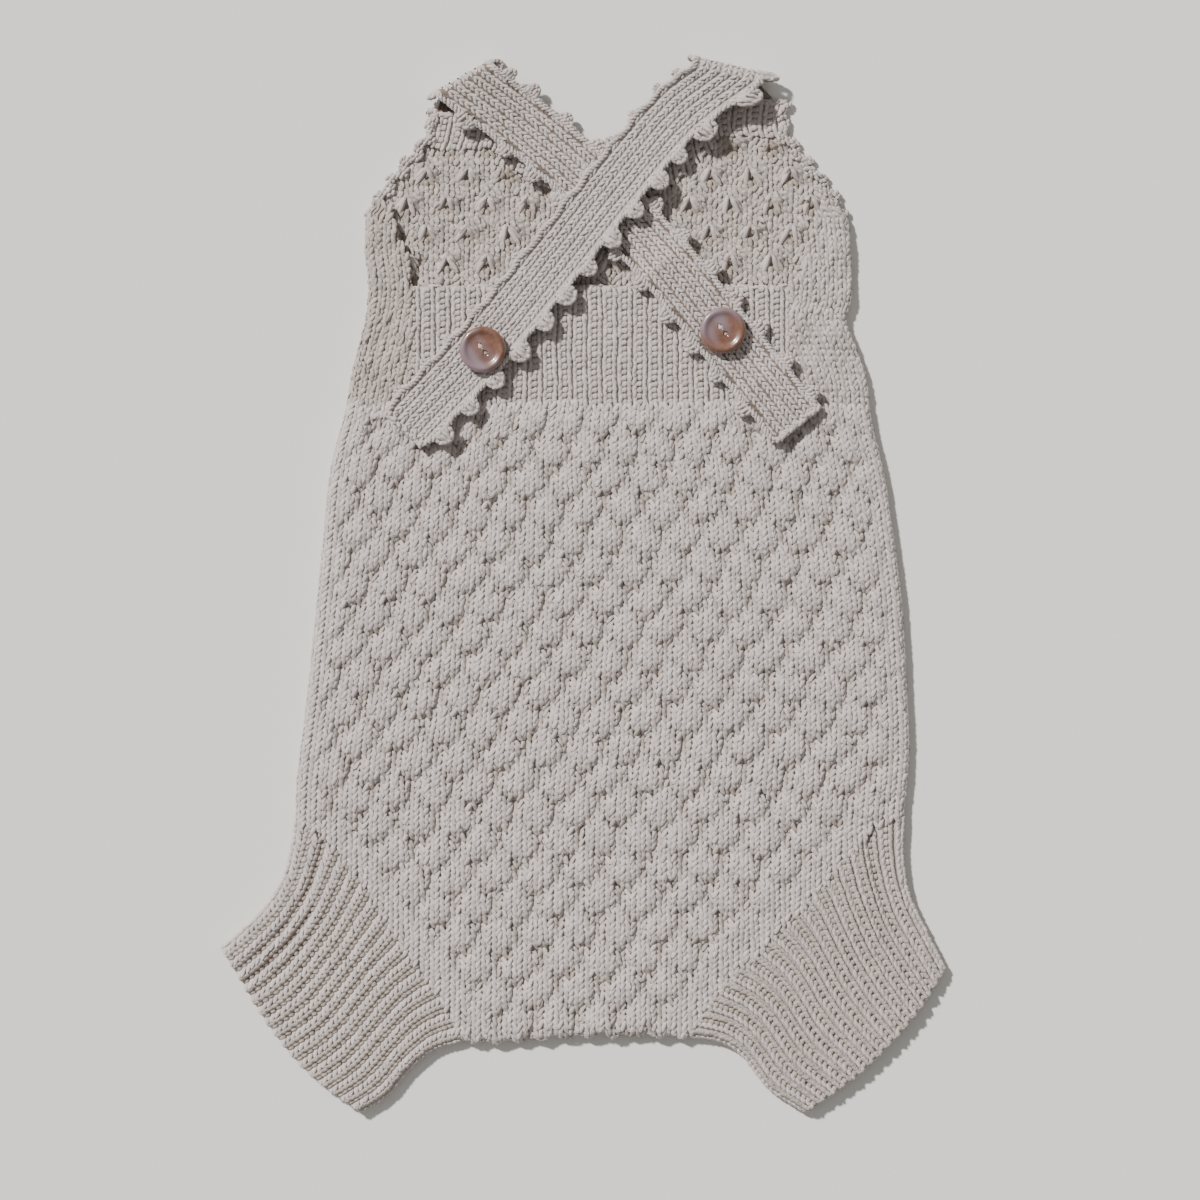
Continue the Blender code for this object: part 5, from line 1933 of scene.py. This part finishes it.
@dataclass
class Strap:
    """A strap in plain stitches with a picot edge, folded over at the top and laid down the back."""

    name: str
    start: tuple[Spot, Spot]
    fold: tuple[Spot, Spot]
    run: Sequence[Spot]
    fold_height: float
    over: "Strap | None" = None
    width: float = 23.0
    columns: int = 7
    row: float = 2.3
    rhythm: tuple[tuple[float, float], tuple[float, float]] = ((6.9, 13.8), (6.9, 13.8))
    valley: float = 1.0
    knob: tuple[float, float] = (0.4, 1.0)
    curl: tuple[float, float] = (0.0, 1.4)
    end_radius: float = 5.0
    leg_width: float = 1.65
    # The shell's painted shade, as its depth in the cloth, which shows between the columns.
    ground: float = 0.2
    shear_fade: float = 28.0
    slope: float = 0.22
    fold_slope: float = 0.12
    before_fold: float = 9.0
    near_strap: float = 3.6

    def __post_init__(self) -> None:
        """Work out the strap's course."""
        curve = smooth(self.run)
        total = lengths(curve)[-1]
        self.distances = np.linspace(0, total, 69)
        self.centre = along(curve, self.distances)
        self.sides = side_normals(self.centre)
        ends = np.array(self.start)
        self.first_row = ends if (ends[0] - ends[1]) @ self.sides[0] >= 0 else ends[::-1]
        crease = np.subtract(*self.fold)
        self.crease = crease * math.copysign(1 / np.linalg.norm(crease), crease @ self.sides[0])
        self.lean = self.crease / (self.crease @ self.sides[0]) - self.sides[0]
        outward = np.array([-self.crease[1], self.crease[0]])
        self.outward = outward * -math.copysign(1, outward @ (self.centre[1] - self.centre[0]))
        self.total = total
        self.middle = self.drape() + WALL / 2
        self.radius = (self.middle[0] - WALL / 2) / 2

    def support(self, x: float, y: float) -> float:
        """The cloth that lies under a place.

        Args:
            x: the place.
            y: its y.

        Returns:
            The level of its highest point.
        """
        under = TOP_OF_BIB if y > RIB_TOP + 1 else TOP_OF_RIB if y > RIB_BOTTOM else TOP_OF_BACK
        if self.over is not None:
            away = np.hypot(self.over.centre[:, 0] - x, self.over.centre[:, 1] - y)
            nearest = away.argmin()
            if away[nearest] < self.width / 2 + self.near_strap:
                under = max(under, self.over.middle[nearest] + WALL / 2)
        return under

    def drape(self) -> Array:
        """How the strap lies on what is under it.

        Returns:
            The height of its underside along its run.
        """
        offsets = np.linspace(-self.width / 2 - 2, self.width / 2 + 2, 5)
        reach = self.distances
        highest = []
        for centre, side, distance in zip(self.centre, self.sides, reach):
            fade = 1 - float(smoothstep(distance / self.shear_fade))
            rows = [centre + offset * (side + fade * self.lean) for offset in offsets]
            highest.append(max(self.support(x, y) for x, y in rows))
        raised = np.array(highest) + SEAM_GAP
        level = np.array([(raised - self.slope * np.abs(reach - here)).max() for here in reach])
        return np.maximum(level, self.fold_height - self.fold_slope * reach)

    def plan(self, offset: Array, distance: Array) -> Array:
        """Places in plan along the run.

        Args:
            offset: distances from its middle line.
            distance: distances along it.

        Returns:
            The places.
        """
        held = np.clip(distance, 0, self.total)
        centre, side = (np.stack([np.interp(held, self.distances, line[:, k]) for k in (0, 1)], axis=-1)
                        for line in (self.centre, self.sides))
        fade = 1 - smoothstep(held / self.shear_fade)
        return centre + offset[..., None] * (side + fade[..., None] * self.lean)

    def surface(self, offset: Array, distance: Array, lift: float) -> Array:
        """Points at a lift over the strap's middle layer, before the fold, round it and on the run.

        Args:
            offset: distances from the strap's middle line.
            distance: distances along it from its fold, negative round the fold and before it.
            lift: how far the points stand out from the middle of the cloth.

        Returns:
            The points.
        """
        offset, distance = np.broadcast_arrays(offset, distance)
        plan = self.plan(offset, distance)
        mid = np.interp(np.clip(distance, 0, self.total), self.distances, self.middle)
        raised = np.where(offset < 0, self.curl[0], self.curl[1])
        aside = smoothstep((np.abs(offset) / (self.width / 2) - 0.45) / 0.7)
        mid = mid + raised * aside * smoothstep(distance / 12)
        on_run = np.concatenate([plan, (mid + lift)[..., None]], axis=-1)
        turn = np.clip(math.pi + distance / self.radius, 0, math.pi)
        reach = (self.radius + lift) * np.sin(turn)
        level = WALL / 2 + self.radius - (self.radius + lift) * np.cos(turn)
        bent = np.concatenate([plan + self.outward * reach[..., None], level[..., None]], axis=-1)
        before = np.clip(-math.pi * self.radius - distance, 0, None)
        far, near = self.first_row
        toward = near + (far - near) * (offset / self.width + 0.5)[..., None] - plan
        share = before / (np.linalg.norm(toward, axis=-1) + 1e-6)
        bent[..., :2] += toward * np.clip(share, 0, 1)[..., None]
        return np.where((distance >= 0)[..., None], on_run, bent)

    def half_width(self, distance: Array, side: int = 1) -> Array:
        """Half the strap's width, drawn in between the knobs, with its end's corners rounded.

        Args:
            distance: how far along the strap.
            side: which edge, -1 or 1.

        Returns:
            The distance from the middle line to the edge.
        """
        distance = np.clip(distance, 0, self.total)
        corner = self.end_radius * (1 - rounded(self.total - distance, self.end_radius))
        first, pitch = self.rhythm[side > 0]
        drawn_in = self.valley * (0.5 - 0.5 * np.cos(2 * math.pi * (distance - first) / pitch))
        return self.width / 2 - corner - drawn_in

    def place(self, column: Array, row: Array) -> Array:
        """Points of the stitches' middle line.

        Args:
            column: columns across.
            row: rows along.

        Returns:
            The points.
        """
        column, row = np.broadcast_arrays(column, row)
        distance = row * self.row
        pitch = self.width / self.columns
        offset = (self.columns / 2 - column) * pitch
        limit = self.half_width(distance)
        ridge = 0.15 * np.cos(2 * math.pi * (column - 0.5)) * (np.abs(offset) < limit)
        round_fold = 0.4 * np.sin(np.clip(-distance / self.radius, 0, math.pi))
        return self.surface(offset, distance, 0.35 + round_fold) + ridge[..., None] * (0, 0, 1)

    def edged(self, across: Array | float, along_it: Array, side: int, lift: Array | float) -> Array:
        """Points beside an edge.

        Args:
            across: how far out from the edge they lie.
            along_it: how far along the strap.
            side: which edge, -1 or 1.
            lift: how far over the strap.

        Returns:
            The points.
        """
        half = self.half_width(along_it, side)
        spots = self.surface(side * (half + across), along_it, 0.0)
        return spots + self.up(along_it) * np.reshape(lift, (-1, 1))

    def up(self, along_it: Array) -> Array:
        """The way that the strap faces at distances along it."""
        out = np.subtract(*(self.surface(0 * along_it, along_it, lift) for lift in (1.0, 0.0)))
        return out / np.linalg.norm(out, axis=1)[:, None]

    def edging(self, side: int, reach: float) -> Strands:
        """The cast-off chain along an edge, with its knobs.

        Args:
            side: which edge, -1 or 1.
            reach: how far the knobs stand out, as a share of the full size.

        Returns:
            The strands.
        """
        here = np.arange(-math.pi * self.radius * 0.6, self.total - 1.5, 1.55)
        parts = []
        for out, back, level in ((-1.5, 0.1, 0.75), (0.1, -1.2, 0.35)):
            start = self.edged(out, here, side, level)
            end = self.edged(back, here + 2.1, side, level)
            parts.append(Strands(start, end, self.up(here), 1.5, 1.5, 0.04))
        first, pitch = self.rhythm[side > 0]
        centres = np.arange(first - pitch, self.total - 4, pitch)
        chance = np.random.default_rng(3 + side)
        grown = reach * chance.uniform(0.85, 1.15, len(centres))
        centres = centres + chance.uniform(-1.0, 1.0, len(centres))
        turns = np.radians((-100, -60, -20, 20, 60, 100))
        for stretch in zip(turns, turns[1:]):
            ends = [self.edged((0.2 + 3.7 * math.cos(turn)) * grown, centres + 3.3 * math.sin(turn) * grown,
                               side, 0.2 * grown) for turn in stretch]
            parts.append(self.knotted(*ends, centres, 2.1))
        for spread, far in ((-2.6, 1.6), (-0.9, 2.6), (0.9, 2.6), (2.6, 1.6)):
            nudge = chance.uniform(-0.35, 0.35, (3, len(centres)))
            ends = [self.edged(out * grown + nudge[0], centres + spread * share + slip, side, 0.8 * grown)
                    for out, share, slip in ((-1.7, 1.0, nudge[1]), (far, 0.8, nudge[2]))]
            parts.append(self.knotted(*ends, centres, 1.8))
        ends = [self.edged(out * grown, centres, side, 0.0) for out in (-1.5, 3.0)]
        parts.append(self.knotted(*ends, centres, 4.4))
        parts[-1].height *= 0.35
        return Strands.joined(*parts)

    def end_chain(self) -> Strands:
        """The chain across the strap's end.

        Returns:
            Its strands.
        """
        half = self.width / 2 - self.end_radius
        offset = np.arange(-half - 1.5, half + 1.5, 1.5)
        wave = 0.6 * np.sin(offset * 1.3)
        parts = []
        for near, far in ((-1.6, 0.2), (0.4, -1.2)):
            ends = [self.surface(offset + step, self.total + back + wave, 0.75 + 0.25 * np.cos(offset * 1.9))
                    for step, back in ((0.0, near), (1.9, far))]
            parts.append(self.knotted(*ends, self.total + 0 * offset, 1.7))
        return Strands.joined(*parts)

    def knotted(self, start: Array, end: Array, along_it: Array, width: float) -> Strands:
        """Strands of the knobs between given ends."""
        return Strands(start, end, self.up(along_it), width, width * 0.9, 0.05)

    def build(self, kit: Workshop) -> None:
        """Make the strap's shell, stitches and picots.

        Args:
            kit: the workshop.
        """
        turn = -math.pi * self.radius
        before = turn - self.before_fold
        distance = np.concatenate([np.linspace(before, turn, 4)[:-1], np.linspace(turn, 0, 12)[:-1],
                                   np.linspace(0, self.total, 76)])[:, None]
        shares = np.array([-1, -0.94, -0.8, -0.5, -0.2, 0.2, 0.5, 0.8, 0.94, 1])
        offset = shares * np.where(shares < 0, self.half_width(distance, -1), self.half_width(distance))
        middle = self.surface(offset, distance, -0.2)
        thin = np.where(np.abs(shares) > 0.97, 0.3, 1.0)[:, None]
        outer, inner = (middle + (self.surface(offset, distance, lift) - middle) * thin
                        for lift in (0.35, -0.8))
        grid = np.dstack([self.columns / 2 - offset / self.width * self.columns,
                          distance / self.row + 0 * offset])
        # The shell gets the strap's painted shade.
        shell = grid_sheet(outer, inner, grid, np.full(offset.shape, self.ground))
        shell = kit.finish(shell.piece(self.name + "_cloth", kit.cloth), self.name)

        column, row = cells(np.arange(self.columns) + 0.5,
                            np.arange(int(turn / self.row) - 1, int(self.total / self.row)))
        legs = v_legs(self.place, column, row, 0.44, self.leg_width, 0.72, 0.0, foot=0.07, tuck=0.12)
        limit = self.half_width((row + 0.5) * self.row) - 1.2
        away = np.abs((self.columns / 2 - column) * self.width / self.columns)
        legs = legs.kept(np.tile(away < limit, 2))
        stitches = kit.knit(self.name + "_stitches", legs.loosened(0.1, 37), arch=0.35, unevenness=0.1)
        edges = Strands.joined(self.edging(-1, self.knob[0]), self.edging(1, self.knob[1]), self.end_chain())
        picots = kit.knit(self.name + "_picots", edges.loosened(0.1, 41), arch=0.35, tip=0.65,
                          unevenness=0.15)


# --- buttons ---

@dataclass
class Button:
    """A turned shell button with two holes, sewn on with the garment's own yarn. Its profile is
    given in shares of the radius and of the thickness."""

    name: str
    # Which way in plan the painted sheen lies across the shell.
    pearl: tuple[float, float]
    hole: float = 1.9
    spacing: float = 3.4
    hole_angle: float = -52.0
    hole_steps: int = 20
    steps: int = 72
    saucer: float = 0.74
    profile: Sequence[Spot] = (
        (0.0, 0.78), (0.16, 0.78), (0.30, 0.76), (0.40, 0.73), (0.50, 0.72), (0.60, 0.74), (0.68, 0.82),
        (0.74, 0.93), (0.80, 0.99), (0.84, 1.0), (0.89, 0.97), (0.94, 0.88), (0.985, 0.72), (1.0, 0.55),
        (0.99, 0.36), (0.95, 0.20), (0.88, 0.06), (0.80, 0.0), (0.0, 0.0),
    )

    def build(self, kit: Workshop) -> None:
        """Make the button and its thread.

        Args:
            kit: the workshop.
        """
        low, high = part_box(self.name)
        centre = (low + high) / 2
        radius = (high.x - low.x) / 2
        thickness = high.z - low.z
        mesh = bpy.data.meshes.new(self.name)
        spots = [(reach * radius, 0.0, height * thickness) for reach, height in self.profile]
        mesh.from_pydata(spots, [(k, k + 1) for k in range(len(spots) - 1)], [])
        blank = placed(self.name + "_blank", mesh)
        turn = blank.modifiers.new("turn", "SCREW")
        turn.steps = self.steps
        turn.render_steps = self.steps
        turn.use_merge_vertices = True
        turn.merge_threshold = 0.00001
        turn.use_smooth_shade = True
        cutters = []
        angle = math.radians(self.hole_angle)
        way = np.array([math.cos(angle), math.sin(angle)])
        for side in (-1, 1):
            drill = bpy.data.meshes.new("drill")
            work = bmesh.new()
            bmesh.ops.create_cone(work, cap_ends=True, segments=self.hole_steps, radius1=self.hole / 2 * MM,
                                  radius2=self.hole / 2 * MM, depth=4 * thickness)
            work.to_mesh(drill)
            work.free()
            cutter = placed("drill", drill)
            cutter.location = (*(way * side * self.spacing / 2 * MM), 0)
            cut = blank.modifiers.new("hole", "BOOLEAN")
            cut.operation = "DIFFERENCE"
            cut.object = cutter
            cutters.append(cutter)
        bpy.context.view_layer.update()
        graph = bpy.context.evaluated_depsgraph_get()
        made_mesh = bpy.data.meshes.new_from_object(blank.evaluated_get(graph))
        for used in (blank, *cutters):
            bpy.data.objects.remove(used)
        spots = np.array([spot.co[:2] for spot in made_mesh.vertices]) / radius
        # The painted sheen, with a ripple across it.
        sheen = made_mesh.attributes.new("pearl", "FLOAT", "POINT")
        lit = smoothstep(spots @ np.array(self.pearl) + 0.35 + 0.2 * np.sin(spots @ (7, 5)))
        sheen.data.foreach_set("value", lit.astype(np.float32))
        made_mesh.transform(Matrix.Translation((centre.x, centre.y, low.z)))
        made_mesh.materials.clear()
        made_mesh.materials.append(kit.shell)
        kit.finish(placed(self.name + "_shell", made_mesh), self.name, slot="button_shell")
        self.thread(kit, way, (np.array(centre) - SHIFT) / MM, (low.z + thickness * self.saucer) / MM)

    def thread(self, kit: Workshop, way: Array, middle: Array, top: float) -> None:
        """The yarn that holds the button: its turns fill the upper hole and go down the lower one.

        Args:
            kit: the workshop.
            way: the way in plan from the middle towards the second hole.
            middle: the button's middle.
            top: the level of the saucer between the holes.
        """
        aside = np.array([-way[1], way[0]])
        parts = []
        # The turns down the lower hole get painted shade.
        for near, far, across, dip, shade_depth in ((-0.62, -0.2, -0.4, 0.1, 0.02), (-0.75, -0.15, 0.0, -0.1, 0.0),
                                             (-0.6, -0.2, 0.4, 0.1, 0.05), (0.25, 0.72, -0.4, 0.4, 0.5),
                                             (0.25, 0.72, 0.4, 0.4, 0.5), (0.2, 0.76, 0.0, 0.3, 0.45)):
            spots = [np.array([[*(middle[:2] + way * reach * self.spacing + aside * across), top - dip]])
                     for reach in (near, far)]
            parts.append(Strands(*spots, UPWARD, 0.95, 0.62, shade_depth))
        kit.knit(self.name + "_thread", Strands.joined(*parts), arch=0.8, tip=0.8)


# --- floor, light and camera ---

@dataclass
class Studio:
    """A plain pale floor, soft light from the upper left and the camera straight above."""

    view_centre: Spot = (6.27, -6.65)
    view_width: float = 456.0
    camera_height: float = 1500.0
    garment_level: float = 4.0
    sensor: float = 36.0
    floor_reach: float = 4.0
    sun_strength: float = 5.5
    sun_angle: float = 5.0
    sun_elevation: float = 38.5
    sun_azimuth: float = 135.0
    sun_colour: tuple[float, float, float] = (1.0, 0.985, 0.96)
    sky_strength: float = 0.32
    sky_colour: tuple[float, float, float, float] = (1.0, 0.985, 0.965, 1.0)

    def build(self) -> None:
        """Make the floor, lights and camera."""
        mesh = bpy.data.meshes.new("floor")
        reach = self.floor_reach
        corners = [(-reach, -reach, 0), (reach, -reach, 0), (reach, reach, 0), (-reach, reach, 0)]
        mesh.from_pydata(corners, [], [(0, 1, 2, 3)])
        mesh.materials.append(FloorFinish().material())
        placed("floor", mesh)

        lamp = bpy.data.lights.new("key", "SUN")
        lamp.energy = self.sun_strength
        lamp.angle = math.radians(self.sun_angle)
        lamp.color = self.sun_colour
        key = placed("key", lamp)
        key.rotation_euler = (math.radians(90 - self.sun_elevation), 0, math.radians(self.sun_azimuth + 90))

        world = bpy.data.worlds.new("sky")
        world.use_nodes = True
        sky = world.node_tree.nodes["Background"]
        feed(sky, {"Color": self.sky_colour, "Strength": self.sky_strength})
        bpy.context.scene.world = world

        lens = bpy.data.cameras.new("camera")
        lens.sensor_width = self.sensor
        lens.lens = self.sensor * (self.camera_height - self.garment_level) / self.view_width
        camera = placed("camera", lens)
        camera.location = tuple(np.array([*self.view_centre, self.camera_height]) * MM + SHIFT)
        bpy.context.scene.camera = camera


def main() -> None:
    """Build the garment's pieces in order, then the studio round it."""
    logging.basicConfig(level=logging.INFO, format="%(name)s %(message)s")
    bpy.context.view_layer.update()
    yarn = BabyYarn()
    kit = Workshop(yarn.strand_material(), yarn.cloth_material(), ShellButtonFinish().material(),
                   StrandTree())
    back = BodyBack()
    left_strap = Strap("strap_left", STRAP_LEFT_START, STRAP_LEFT_FOLD, STRAP_LEFT_RUN, 6.2,
                       rhythm=((-4.5, 15.2), (5.7, 15.4)), knob=(0.85, 0.75), curl=(0.3, -0.4),
                       valley=0.7, end_radius=3.0, leg_width=1.5, ground=0.75)
    right_strap = Strap("strap_right", STRAP_RIGHT_START, STRAP_RIGHT_FOLD, STRAP_RIGHT_RUN, 7.6, left_strap)
    for part in (BodyFront(back), back, Cuff(Side.LEFT), Cuff(Side.RIGHT), BackRib(), SideStrip(Side.LEFT),
                 SideStrip(Side.RIGHT), Bib(back), left_strap, right_strap,
                 Button("button_left", (-0.5, -0.45)), Button("button_right", (-0.45, 0.5))):
        part.build(kit)
    Studio().build()


if __name__ == "__main__":
    main()
